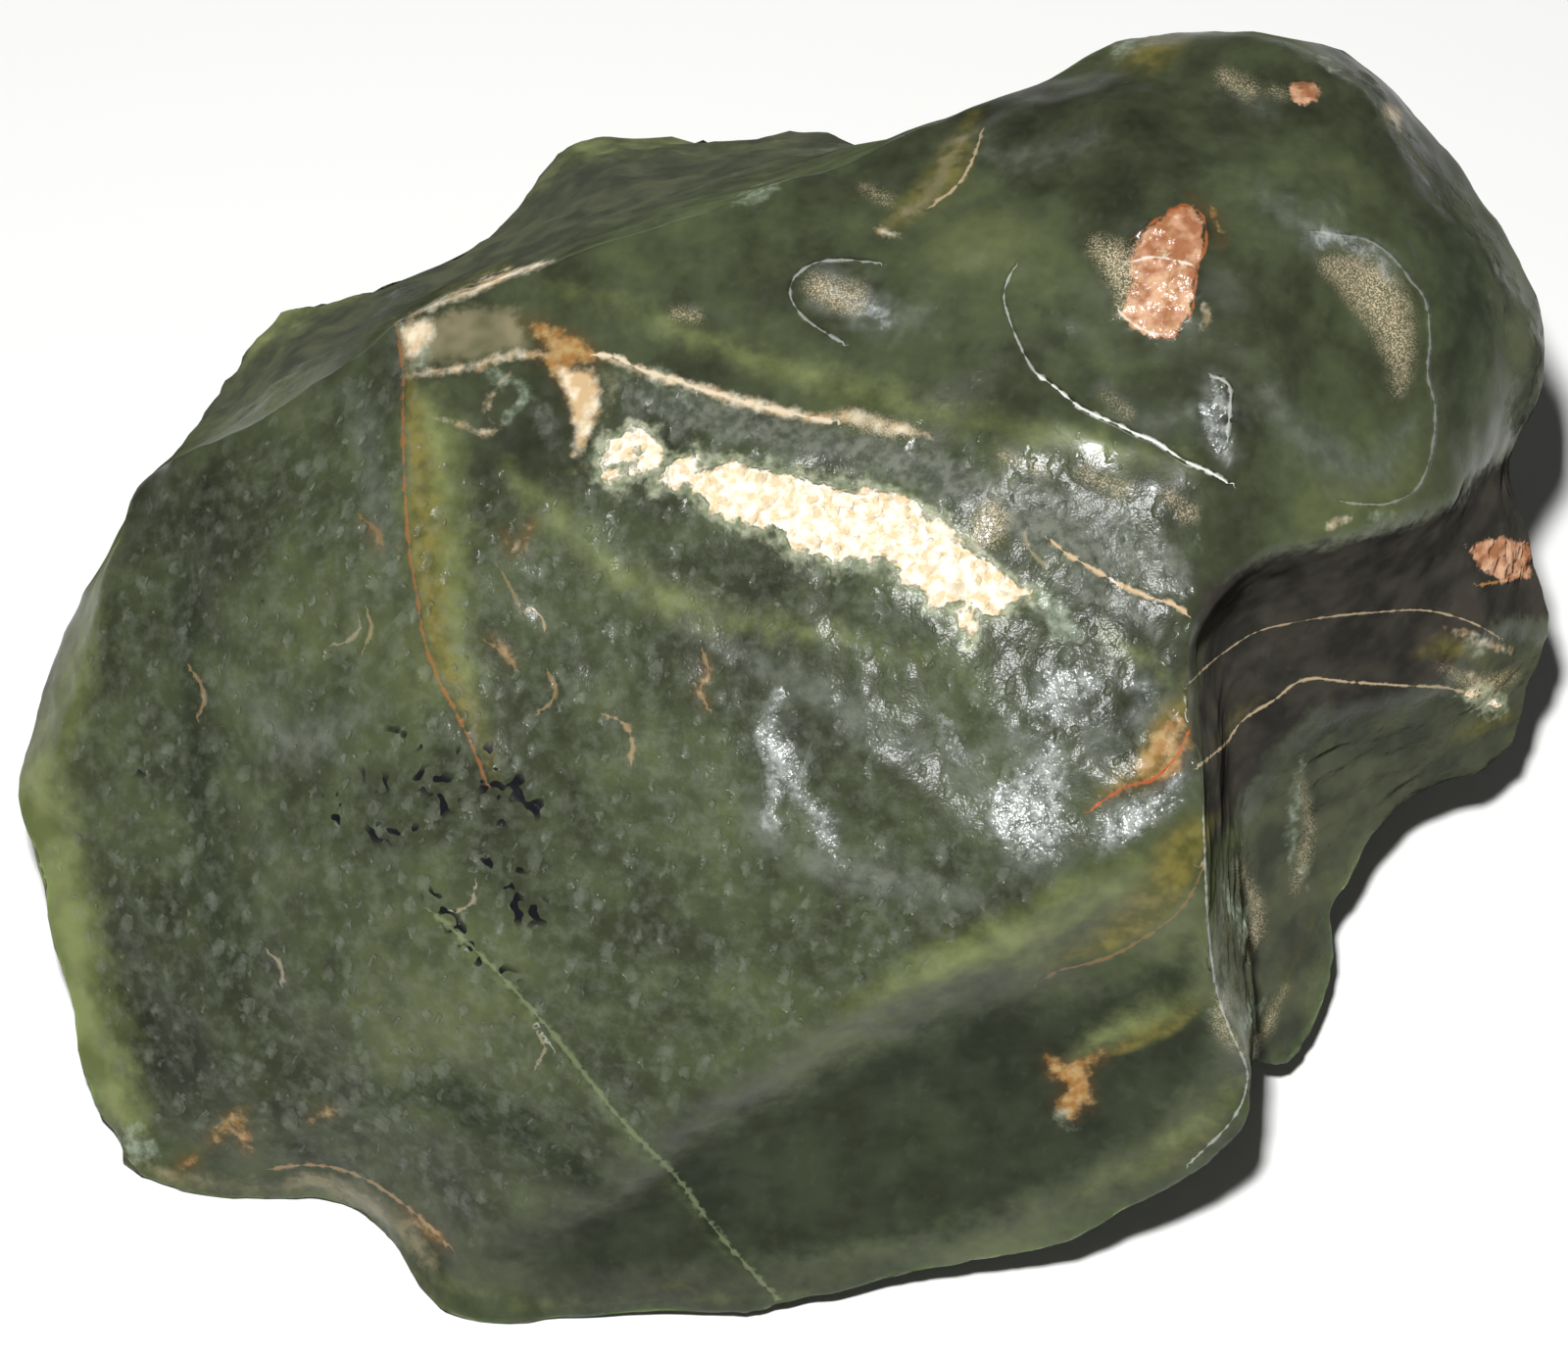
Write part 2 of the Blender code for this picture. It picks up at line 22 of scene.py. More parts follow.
import bmesh
import bpy
import numpy as np
from mathutils import Matrix, Vector


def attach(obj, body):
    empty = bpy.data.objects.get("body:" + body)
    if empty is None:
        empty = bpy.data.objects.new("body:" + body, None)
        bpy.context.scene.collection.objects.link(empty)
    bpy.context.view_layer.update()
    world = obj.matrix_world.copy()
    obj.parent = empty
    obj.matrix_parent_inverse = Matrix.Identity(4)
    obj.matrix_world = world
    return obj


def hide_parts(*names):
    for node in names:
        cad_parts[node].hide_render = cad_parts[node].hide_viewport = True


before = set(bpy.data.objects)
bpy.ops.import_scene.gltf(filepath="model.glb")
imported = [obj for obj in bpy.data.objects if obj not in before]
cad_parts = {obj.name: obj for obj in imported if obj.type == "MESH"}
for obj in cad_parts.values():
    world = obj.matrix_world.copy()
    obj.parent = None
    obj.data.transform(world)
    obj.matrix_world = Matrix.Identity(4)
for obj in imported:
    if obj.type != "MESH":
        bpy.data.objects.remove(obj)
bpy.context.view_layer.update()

LOG = logging.getLogger("boulder")
MM = 0.001

Point = tuple[float, ...]
Array = np.ndarray
Socket = bpy.types.NodeSocket


def linear(colour: str) -> Point:
    """Turns an sRGB hex colour into linear light.

    Args:
        colour: "#rrggbb".

    Returns:
        Red, green, blue and an alpha of one, each raised by the sRGB curve.
    """
    parts = [int(colour[i:i + 2], 16) / 255 for i in (1, 3, 5)]
    return (*(c / 12.92 if c <= 0.04045 else ((c + 0.055) / 1.055) ** 2.4 for c in parts), 1.0)


def unit(vectors: Array) -> Array:
    """Vectors of length one along the given rows."""
    return vectors / np.linalg.norm(vectors, axis=-1, keepdims=True)


def ramp(values: Array, low: float, high: float) -> Array:
    """A smooth step: 0 up to low, 1 from high, and 3t² − 2t³ between them."""
    t = np.clip((values - low) / (high - low), 0, 1)
    return t * t * (3 - 2 * t)


def smooth_run(points: Sequence[Point] | Array, spacing: float) -> Array:
    """Points along a smooth curve through the given ones.

    Between two points the curve is the cubic whose slope at each is half the way from its one neighbour
    to the other. Any columns past the coordinates, such as a width, run along with them.

    Args:
        points: The points the curve passes through. Equal ends close it.
        spacing: The most that two points of the result are apart.

    Returns:
        The points, one a row.
    """
    points = np.array(points, float)
    closed = np.allclose(points[0], points[-1])
    before = points[-2] if closed else points[0]
    after = points[1] if closed else points[-1]
    ends = np.vstack([before, points, after])
    run = []
    for a, b, c, d in zip(ends, ends[1:], ends[2:], ends[3:]):
        count = max(1, math.ceil(np.linalg.norm(c - b) / spacing))
        t = (np.arange(count) / count)[:, None]
        run.append((2 * t**3 - 3 * t**2 + 1) * b + (t**3 - 2 * t**2 + t) * (c - a) / 2
                   + (3 * t**2 - 2 * t**3) * c + (t**3 - t**2) * (d - b) / 2)
    if not closed:
        run.append(points[-1:])
    return np.vstack(run)


def close_by(points: Array, run: Array, reach: float) -> Array:
    """The numbers of the points that are within reach of the run's box."""
    low, high = run.min(axis=0) - reach, run.max(axis=0) + reach
    return np.flatnonzero(((points > low) & (points < high)).all(axis=1))


def leftward(way: Array, offset: Array) -> Array:
    """How far each offset lies to the left of its way, times the length of the way."""
    return way[:, 0] * offset[:, 1] - way[:, 1] * offset[:, 0]


@dataclass(frozen=True)
class WornFace:
    """The broad worn face, which leans back and carries the stone's markings."""

    lean_degrees: float = 62.0
    height: float = 54.0
    forward: float = 13.8
    sight: float = 900.0

    def axes(self) -> Array:
        """The across, up and out directions over the ground, one a row."""
        lean = math.radians(self.lean_degrees)
        sine, cosine = math.sin(lean), math.cos(lean)
        return np.array([(1.0, 0.0, 0.0), (0.0, sine, cosine), (0.0, -cosine, sine)])

    def to_ground(self, points: Sequence[Point] | Array) -> Array:
        """Turns points of the face into points over the ground."""
        return np.array(points, float) @ self.axes() + (0.0, -self.forward, self.height)

    def to_face(self, points: Array) -> Array:
        """Turns points over the ground into points of the face."""
        return (points - (0.0, -self.forward, self.height)) @ self.axes().T

    def seen(self, points: Array) -> Array:
        """Where points over the ground are seen: (across, up), stretched as they come nearer the sight."""
        on_face = self.to_face(points)
        return on_face[:, :2] * (self.sight / (self.sight - on_face[:, 2:]))

    def facing(self, normals: Array) -> Array:
        """How squarely each normal looks out of the face, from -1 to 1."""
        return normals @ self.axes()[2]


@dataclass(frozen=True)
class Line:
    """A drawn line of the stone, and how well it has kept its edge, from 0 to 1."""

    keenness: float
    points: Sequence[Point]


# The stone's own lines, as its solid has them. Edges, ridges and creases of the worn face
FACE_LINES: dict[str, Line] = {
    "top ridge": Line(0.95, [
        (-79, 28.5, -12), (-70.5, 32, -8), (-63, 36.5, -4), (-55, 41, 0), (-48.5, 45.5, 4), (-43.5, 48, 5),
        (-37, 50, 6), (-31.5, 51.5, 8), (-26, 54, 9), (-20, 56, 9), (-12.5, 58.5, 8), (-5, 61, 7),
        (2.5, 63.5, 5), (8.5, 66, 3), (15, 69, 1), (24, 73, -1), (30, 75.5, -2), (35, 78, -3),
        (41.5, 81.5, -5), (48, 83, -7), (55.5, 83.5, -8)]),
    "head brow": Line(0.6, [
        (55, 82.5, -4), (62.5, 81.5, -1), (67.5, 78.5, 1), (74, 75, 2), (75.5, 72.5, 3), (78, 67.5, 3),
        (81.5, 63, 3), (85.5, 57.5, 3), (88.5, 54, 2), (91, 50, 1), (93, 46, 0), (95.5, 43, -2),
        (97.5, 41.5, -5)]),
    "head rim": Line(0.9, [
        (61, 83.5, -10), (67, 82.5, -11), (71, 82, -12), (74, 80, -12), (77.5, 77, -12), (82.5, 72, -12),
        (86, 68, -12), (89, 64, -12), (92, 59, -12), (95, 54, -12), (97.5, 49.5, -12), (98.5, 43, -11),
        (97.5, 37, -10), (96, 33, -10), (94.5, 30.5, -10), (92.5, 26, -10)]),
    "left rim": Line(0.9, [
        (-79, 28.5, -14), (-82.5, 26.5, -16), (-85, 24, -17), (-86.5, 18.5, -17), (-88.5, 13, -17)]),
    "left fold": Line(0.6, [
        (-88, 13, -15), (-89.5, 6.5, -16), (-91.5, 0, -17), (-93.5, -6, -18), (-94.5, -14, -18)]),
    "left lobe": Line(0.9, [
        (-92, 11, -26), (-94.5, 6, -27), (-97, -1, -27), (-100, -11.5, -26), (-100, -16.5, -25),
        (-98.5, -22, -24), (-96, -32.5, -24), (-93.5, -42.5, -25), (-91, -53.5, -26), (-88, -61, -28)]),
    "foot bevel": Line(0.7, [
        (-87.5, -60.5, -25), (-81.5, -61.5, -23), (-76, -62.5, -21), (-69, -63.5, -20), (-61.5, -64, -19),
        (-56, -65.5, -18), (-51, -68.5, -17), (-47, -72, -16), (-44.5, -75, -16)]),
    "foot rim": Line(0.9, [
        (-87, -63.5, -26), (-81.5, -66, -25), (-75.5, -67.5, -24.5), (-69.5, -68, -24), (-62.5, -68, -24),
        (-57, -69, -23.5), (-52.5, -72, -22), (-49.5, -75.5, -20), (-47, -80, -18), (-44, -82.5, -17),
        (-38, -83.5, -16), (-27, -83, -16), (-17.5, -82.5, -15.5), (-9, -82, -15), (0, -81, -14),
        (8.5, -79, -13.5), (17, -77, -12.5), (25.5, -75, -11), (33, -73.5, -9), (39, -71, -6),
        (45, -67, -3), (50.5, -64, -1), (55, -60.5, 2), (58, -57, 5), (59.5, -54, 7), (59.5, -51, 8)]),
    "right edge": Line(1.0, [
        (50, 10.5, 33), (50, 6, 33), (49.5, 1.5, 33), (50, -6, 33.5), (51, -10.5, 33.5), (51.5, -16.5, 33),
        (52, -23, 31), (52, -29, 28), (52.5, -33, 26), (54, -39, 22), (56, -44, 18), (58.5, -48, 13),
        (59.5, -51, 8)]),
    "head chin": Line(0.7, [
        (50, 10.5, 33), (52, 12.5, 32), (56.5, 15, 30), (61.5, 16.5, 28), (66.5, 17.5, 26), (71.5, 19, 23),
        (76, 20, 20), (79.5, 21, 17), (82.5, 22, 14), (85, 23, 12), (86.5, 25, 9), (87.5, 28, 6),
        (90, 29.5, 1), (93.5, 30, -6)]),
    "neck valley": Line(0.3, [(92.5, 26, -10), (90, 24.5, -3), (86.5, 21.5, 4)]),
    "lobe rim": Line(0.9, [
        (93, 26, -12), (94.5, 22.5, -15), (97, 19.5, -19), (98, 15, -22), (99.5, 11, -25),
        (100.5, 6.5, -27), (99.5, 2.5, -28), (98, -1.5, -29), (97.5, -5.5, -30), (96.5, -10, -31),
        (94.5, -11, -31), (90.5, -12, -30), (86.5, -13.5, -29), (84, -14, -28), (80.5, -16.5, -28),
        (78, -19, -27), (76.5, -21.5, -27), (75, -25.5, -27), (73, -28, -27), (71, -30.5, -26),
        (72, -34, -28), (72, -40, -28), (71, -42.5, -28), (69.5, -46, -27), (67, -49.5, -26),
        (64, -51, -24)]),
    "yellow step": Line(0.9, [
        (-48.5, 45.5, 4), (-48, 38.5, 7.5), (-48, 32.5, 10), (-48, 23.5, 12), (-47, 16, 13.5),
        (-46, 10, 14.5), (-44.5, 4.5, 15), (-42.5, -2.5, 16), (-40, -6.5, 16.5), (-37, -10.5, 17.5)]),
    "cream line": Line(0.6, [
        (-48, 38, 7.5), (-43.5, 39, 10), (-37, 40, 12), (-31.5, 41, 13), (-24.5, 40.5, 15.5),
        (-14.5, 37.5, 18.5), (-6, 35, 21), (0, 33, 22.5), (6, 31.5, 24.5), (12, 30.5, 26), (18, 29.5, 27.5),
        (25.5, 28, 29.5)]),
    "neck ridge": Line(0.25, [
        (-24.5, 50, 12), (-12.5, 47.5, 15.5), (-5, 42.5, 18), (0, 39, 20), (6, 36, 22.5), (12, 34, 25),
        (19.5, 32.5, 27), (24, 30.5, 28.5), (31.5, 27.5, 30.5), (40, 25, 31.5), (48, 23, 32)]),
    "crust foot": Line(0.1, [
        (-29.5, 26, 17), (-19.5, 26, 20.5), (-12, 23, 23.5), (-5, 21, 25.5), (2.5, 17.5, 28), (9.5, 14, 30),
        (17, 11, 31.5), (24, 8.5, 32), (30, 6, 33)]),
    "flake edge": Line(0.4, [
        (33, 16.5, 32.5), (37.5, 13.5, 33), (41, 11.5, 33), (45.5, 9.5, 33), (49.5, 8, 33)]),
    "keel": Line(0.35, [
        (51.5, -14.5, 33.5), (43.5, -20.5, 34.5), (36, -25, 33.5), (24, -32, 30), (12, -39, 26.5),
        (0, -46, 21), (-12.5, -54, 14), (-20, -59.5, 8), (-27.5, -65.5, 1), (-35.5, -72, -7),
        (-40.5, -77, -13)]),
    "back lobe rim": Line(0.9, [
        (-80, 30.5, -30), (-77, 35, -34), (-73, 42, -38), (-68.5, 48, -40), (-64, 50.5, -42),
        (-59, 51.5, -42), (-53, 52.5, -42), (-47, 55, -43), (-42, 57.5, -45), (-38, 61, -48),
        (-35.5, 64, -52), (-32.5, 69, -56), (-29.5, 72.5, -58), (-24, 74, -60), (-13.5, 74, -60),
        (-5.5, 73, -58), (4, 74, -54), (7.5, 73, -50), (10.5, 71, -45)]),
}

# Points inside the facets, which give each its own bulge or hollow
FACET_POINTS: dict[str, list[Point]] = {
    "left facet": [(-69, 16.5, 0), (-58, 16.5, 8), (-78, 6.5, -8), (-69, -1, -1), (-57, -1, 9),
                   (-45.5, -11, 16), (-82.5, -14, -13), (-69, -20, -3), (-56, -19.5, 7), (-44.5, -23, 14),
                   (-85.5, -33, -17), (-69, -39, -6), (-56, -38.5, 3), (-43.5, -38, 10), (-79, -52, -17),
                   (-66, -54, -11), (-53, -55, -6), (-41.5, -57.5, -1), (-32, -48, 9)],
    "central facet": [(-37, 29.5, 14.5), (-39, 16, 17), (-29.5, 16, 19.5), (-29, 1.5, 20), (-17, 8.5, 23.5),
                      (-17, -8.5, 23.5), (-24.5, -23, 20), (-5, -1, 27), (-5, -20.5, 26.5), (-12, -35, 22),
                      (-24.5, -38, 17), (7, 4, 30), (7, -13, 30), (7, -27.5, 28.5), (19, -3.5, 32),
                      (19.5, -20.5, 32), (31, -3.5, 33.5), (31.5, -15.5, 34), (41, -1, 34), (41, -13, 34.5),
                      (-19.5, -49, 14)],
    "lower facet": [(42.5, -32.5, 23), (46.5, -45, 14), (36.5, -37.5, 20), (30.5, -48, 11),
                    (43.5, -56.5, 5), (19.5, -45, 14), (18.5, -55.5, 5), (30, -60.5, 2), (6, -53, 9),
                    (6, -63.5, 0), (17.5, -67.5, -3), (-7.5, -60.5, 4), (-7.5, -71.5, -7), (-21.5, -70, -5),
                    (-21.5, -77, -11), (-33, -78.5, -13.5)],
    "neck": [(-19.5, 44.5, 14.5), (-10, 40.5, 17.5), (0, 36, 21), (9.5, 32.5, 25)],
    "grey band": [(-42, 33.5, 13.5), (-34.5, 33.5, 15.5), (-19.5, 32.5, 18.5), (-9.5, 29.5, 22.5),
                  (0, 26, 25.5), (9.5, 23, 27.5), (19.5, 20.5, 30), (29, 18, 31), (39.5, 18, 32)],
    "head": [(-15, 53, 11), (-2.5, 56.5, 12), (-2.5, 48, 16.5), (10, 61, 9), (10, 47.5, 19.5), (20, 66, 7),
             (19.5, 54, 18), (19.5, 41.5, 24), (32.5, 72.5, 5), (32, 60, 17), (31.5, 47.5, 24.5),
             (31.5, 35, 28.5), (42.5, 76, 4), (43, 66.5, 15.5), (43.5, 54.5, 23.5), (43.5, 42.5, 28),
             (43.5, 31.5, 31), (57, 76, 4), (56.5, 65, 16), (55.5, 52.5, 24.5), (55.5, 41, 28.5),
             (55.5, 29, 31), (55.5, 19.5, 31), (68, 70.5, 9), (67.5, 60, 17.5), (67, 47.5, 23),
             (66.5, 35.5, 25.5), (66.5, 24.5, 26.5), (77.5, 58, 11.5), (78.5, 48, 15.5), (78.5, 35.5, 17.5),
             (76, 24.5, 20), (88, 46, 7), (89.5, 36, 5), (84, 30, 12)],
    "right wall": [(54.5, 8, 15), (56, 0, 6), (57, -8.5, -2), (58.5, -17.5, -9), (59.5, -26.5, -14),
                   (61.5, -39.5, -19), (63, -46.5, -21), (63.5, 12.5, 20), (64.5, 6.5, 8), (65, -1, -1),
                   (67, -8.5, -9), (67.5, -19, -17), (73.5, 16, 16), (74.5, 10, 5), (75.5, 1.5, -5),
                   (76, -6, -13), (75, -14, -21), (83, 19.5, 9), (85, 14, -1), (87, 6.5, -9), (88, -1, -16),
                   (87.5, -8, -24), (92, 19, -7), (94, 11.5, -14), (95.5, 1.5, -22), (68, -26.5, -22),
                   (68, -39.5, -25)],
    "back slope": [(-64.5, 44, -30), (-51.5, 50, -30), (-41, 53.5, -26), (-31, 59.5, -26),
                   (-20.5, 63.5, -28), (-10.5, 66, -28), (0, 68, -26), (-13, 70.5, -48), (-23.5, 70, -48)],
}

# Lines over the ground, for the back and the underside: (right, behind, high)
GROUND_LINES: dict[str, Line] = {
    "back brow": Line(0.4, [
        (12, 62, 56), (30, 63, 60), (48, 67, 62), (62, 69, 62), (72, 66, 58), (81, 54, 54), (88, 40, 50),
        (93, 22, 46)]),
    "back wall": Line(0.2, [
        (-88, 8, 12), (-70, 36, 14), (-44, 62, 16), (-10, 72, 18), (24, 70, 22), (54, 68, 24), (76, 50, 24),
        (88, 22, 20), (86, -8, 14)]),
    "left foot": Line(0.3, [(-94, -8, 13), (-89, -28, 6), (-83, -44, 2)]),
    "right foot": Line(0.3, [(64, -40, 12), (52, -58, 14), (36, -70, 9)]),
    "belly": Line(0.2, [
        (-74, -38, 2.5), (-54, -58, 3), (-16, -66, 3), (20, -60, 4.5), (46, -42, 6.5), (62, -16, 8),
        (68, 10, 9), (58, 36, 9), (30, 52, 8), (-6, 54, 7), (-38, 42, 7), (-62, 18, 7), (-76, -12, 5),
        (-74, -38, 2.5)]),
    "resting rim": Line(0.5, [
        (-44, -30, 0), (-26, -40, 0), (0, -42, 0), (22, -34, 0), (34, -18, 0), (38, 2, 0), (30, 18, 0),
        (10, 26, 0), (-14, 24, 0), (-34, 14, 0), (-46, -6, 0), (-44, -30, 0)]),
}
GROUND_POINTS: list[Point] = [
    (0, -12, -1.5), (-24, -4, -1.5), (20, -4, -1.5), (-10, -28, -1.5), (0, 10, -1.5)]


class Grid:
    """The six sides of a cube, each cut into cells, welded where they meet.

    Each side is a surface of two parameters that run from 0 to cells, so a value for each grid vertex can
    be refined by taking midpoints on all six sides at once.
    """

    def __init__(self, cells: int) -> None:
        """Numbers the vertices and lists each one's neighbours.

        Args:
            cells: Cells along each edge of the cube.
        """
        u, v = np.meshgrid(np.arange(cells + 1), np.arange(cells + 1), indexing="ij")
        low, high = np.zeros_like(u), np.full_like(u, cells)
        sides = [(high, u, v), (low, v, u), (v, high, u), (u, low, v), (u, v, high), (v, u, low)]
        corners = np.array(sides).transpose(0, 2, 3, 1)
        weights = np.array([(cells + 1) ** 2, cells + 1, 1])
        _, first, numbers = np.unique(corners @ weights, return_index=True, return_inverse=True)
        self.cells = cells
        self.numbers = numbers.reshape(corners.shape[:3])
        self.count = len(first)
        cube = corners.reshape(-1, 3)[first] * 2 / cells - 1
        self.directions = unit(np.tan(cube * math.pi / 4))
        n = self.numbers
        self.quads = np.stack([n[:, :-1, :-1], n[:, 1:, :-1], n[:, 1:, 1:], n[:, :-1, 1:]], -1).reshape(-1, 4)
        ends = np.vstack([np.roll(self.quads, -turn, axis=1)[:, :2] for turn in range(4)])
        ends = np.unique(np.vstack([ends, ends[:, ::-1]]), axis=0)
        start = np.searchsorted(ends[:, 0], np.arange(self.count))
        place = np.arange(len(ends)) - start[ends[:, 0]]
        self.neighbours = np.tile(np.arange(self.count)[:, None], (1, 4))
        self.neighbours[ends[:, 0], place] = ends[:, 1]
        self.present = np.zeros((self.count, 4))
        self.present[ends[:, 0], place] = 1.0

    def refined(self, values: Array, finer: "Grid") -> Array:
        """Carries a value for each vertex to a grid with twice the cells, by midpoints."""
        old = values[self.numbers]
        size = 2 * self.cells + 1
        new = np.empty((6, size, size, values.shape[1]))
        new[:, ::2, ::2] = old
        new[:, 1::2, ::2] = (old[:, 1:] + old[:, :-1]) / 2
        new[:, :, 1::2] = (new[:, :, 2::2] + new[:, :, :-1:2]) / 2
        result = np.empty((finer.count, values.shape[1]))
        result[finer.numbers] = new
        return result

    def averaged(self, values: Array, pull: Array | None = None) -> Array:
        """Each vertex's neighbours' mean, weighted by the pull of each where it is given."""
        pull = self.present if pull is None else pull * self.present
        total = (values[self.neighbours] * pull[..., None]).sum(axis=1)
        return total / pull.sum(axis=1, keepdims=True)

    def normals(self, points: Array) -> Array:
        """Each vertex's outward direction: the cross products of its quads' diagonals, added up."""
        corners = points[self.quads]
        cross = np.cross(corners[:, 2] - corners[:, 0], corners[:, 3] - corners[:, 1])
        total = np.stack([np.bincount(self.quads.ravel(), np.repeat(cross[:, axis], 4), self.count)
                          for axis in range(3)], axis=1)
        return unit(total)

    def triangles(self, points: Array, heart: Array) -> Array:
        """Parts each quad along the diagonal that stands further from the heart, so ridges stay whole."""
        out = np.linalg.norm(points - heart, axis=1)[self.quads]
        first = out[:, 0] + out[:, 2] > out[:, 1] + out[:, 3]
        turned = np.where(first[:, None], self.quads, np.roll(self.quads, -1, axis=1))
        return np.vstack([turned[:, [0, 1, 2]], turned[:, [0, 2, 3]]])


@dataclass
class StoneForm:
    """The stone's worn form: the facets between its lines, rounded wherever no keen line resists."""

    face: WornFace = WornFace()
    heart: Point = (2.0, -9.8, 44.0)
    line_spacing: float = 3.0
    smallest_turn_degrees: float = 1.3
    snap_spacing: float = 0.4
    keen_from: float = 0.45
    keen_reach: float = 2.2
    search_reach: float = 6.0
    wear_passes: int = 200
    wear_in: float = 0.5
    wear_out: float = -0.51
    front_density: float = 5.0
    rest_cut: float = 0.6
    relax_rounds: tuple[int, ...] = (60, 14, 4)
    coarsest: int = 16
    finest: int = 128
    lines: list[Line] = field(init=False)
    corners: Array = field(init=False)
    inverses: Array = field(init=False)
    facet_facing: Array = field(init=False)

    def __post_init__(self) -> None:
        """Surveys the lines and spans the facets."""
        self.lines = self.survey()
        self.corners = self.span_facets()
        self.inverses = np.linalg.inv(self.corners.transpose(0, 2, 1))
        a, b, c = (self.corners[:, k] for k in range(3))
        normals = unit(np.cross(b - a, c - a))
        normals *= np.sign((normals * a).sum(axis=1, keepdims=True))
        self.facet_facing = self.face.facing(normals)

    def survey(self) -> list[Line]:
        """Every line and group of points, as closely spaced points over the ground."""
        lines = [Line(line.keenness, smooth_run(self.face.to_ground(line.points), self.line_spacing))
                 for line in FACE_LINES.values()]
        lines += [Line(line.keenness, smooth_run(line.points, 2 * self.line_spacing))
                  for line in GROUND_LINES.values()]
        lines += [Line(0.0, self.face.to_ground(points)) for points in FACET_POINTS.values()]
        lines.append(Line(0.0, np.array(GROUND_POINTS, float)))
        return lines

    def rays(self, points: Array) -> Array:
        """The directions of points from the heart."""
        return unit(points - np.array(self.heart))

    def span_facets(self) -> Array:
        """Spans facets over the survey: the convex hull of its directions, each point put back in place.

        Returns:
            Each facet's three corners from the heart, (facets, 3, 3).
        """
        points = np.vstack([line.points for line in self.lines])
        keenness = np.concatenate([np.full(len(line.points), line.keenness) for line in self.lines])
        rays = self.rays(points)
        nearest = math.cos(math.radians(self.smallest_turn_degrees))
        chosen: list[int] = []
        for index in np.argsort(-keenness, kind="stable"):
            if not chosen or (rays[chosen] @ rays[index]).max() < nearest:
                chosen.append(index)
        hull = bmesh.new()
        source = hull.verts.layers.int.new("source")
        for index in chosen:
            hull.verts.new(rays[index])[source] = int(index)
        bmesh.ops.convex_hull(hull, input=hull.verts)
        sources = np.array([[vertex[source] for vertex in face.verts] for face in hull.faces])
        hull.free()
        return points[sources] - np.array(self.heart)

    def cast(self, rays: Array) -> tuple[Array, Array]:
        """Lays rays from the heart on the facets.

        A ray's shares of a facet's corners are the inverse of the corners times the ray. The facet whose
        least share is largest holds the ray, and it meets the facet at one over the sum of the shares.

        Args:
            rays: Directions, one a row.

        Returns:
            The points they meet over the ground, and the number of each one's facet.
        """
        table = self.inverses.reshape(-1, 3).astype(np.float32)
        holders = []
        for part in np.array_split(rays.astype(np.float32), max(1, len(rays) // 2000)):
            shares = (table @ part.T).reshape(len(self.inverses), 3, -1)
            holders.append(shares.min(axis=1).argmax(axis=0))
        holder = np.concatenate(holders)
        shares = np.einsum("nij,nj->ni", self.inverses[holder], rays)
        return np.array(self.heart) + rays / shares.sum(axis=1, keepdims=True), holder

    def relaxed(self, grid: Grid, points: Array, rounds: int) -> Array:
        """Evens out the grid on the facets, and gathers it on the worn face.

        Each vertex moves towards its neighbours' mean, weighted by distance and by how much the stone
        there is on the worn face, and is laid on the facets again.

        Args:
            grid: The grid.
            points: Its vertices over the ground.
            rounds: How often to repeat it.

        Returns:
            The vertices in their new places on the facets.
        """
        for _ in range(rounds):
            holder = self.cast(self.rays(points))[1]
            front = ramp(self.facet_facing[holder][:, None], 0.0, 0.6)
            front = grid.averaged(grid.averaged(front))
            reach = np.linalg.norm(points[grid.neighbours] - points[:, None], axis=2)
            want = 1 + self.front_density * (front[grid.neighbours][..., 0] + front) / 2
            moved = points + 0.6 * (grid.averaged(points, reach * want) - points)
            points = self.cast(self.rays(moved))[0]
        return points

    def drawn_onto_lines(self, grid: Grid, points: Array) -> Array:
        """Turns the vertices nearest the keen lines onto them, and lets the rest follow a little."""
        rays = self.rays(points)
        samples = self.rays(np.vstack([
            smooth_run(line.points, self.snap_spacing)
            for line in self.lines if line.keenness > self.keen_from
        ])).astype(np.float32)
        towards = rays.astype(np.float32).T
        best, value = [], []
        for part in np.array_split(samples, 24):
            closeness = part @ towards
            best.append(closeness.argmax(axis=1))
            value.append(closeness.max(axis=1))
        best, value = np.concatenate(best), np.concatenate(value)
        order = np.argsort(value, kind="stable")
        held = np.full(grid.count, -1)
        held[best[order]] = order
        vertices = np.flatnonzero(held >= 0)
        for _ in range(6):
            rays = rays + 0.5 * (grid.averaged(rays) - rays)
            rays[vertices] = samples[held[vertices]]
        return self.cast(unit(rays))[0]

    def resistance(self, points: Array) -> Array:
        """How much each point resists wear: the keenness near it times exp(-(distance / reach)²)."""
        held = np.zeros(len(points))
        for line in self.lines:
            if line.keenness == 0:
                continue
            run = np.asarray(line.points)
            near = close_by(points, run, self.search_reach)
            gaps = span_gaps(points[near], run)[0]
            held[near] = np.maximum(held[near], line.keenness * np.exp(-((gaps / self.keen_reach) ** 2)))
        return held

    def worn(self, grid: Grid, points: Array, passes: int) -> Array:
        """Rounds the stone where nothing resists.

        Each pass takes a step in towards the neighbours' mean and a slightly longer one out, which keeps
        the size.

        Args:
            grid: The grid.
            points: Its vertices over the ground.
            passes: How often to repeat it.

        Returns:
            The worn vertices.
        """
        give = (1 - self.resistance(points))[:, None]
        for _ in range(passes):
            for step in (self.wear_in, self.wear_out):
                points = points + step * give * (grid.averaged(points) - points)
        return points

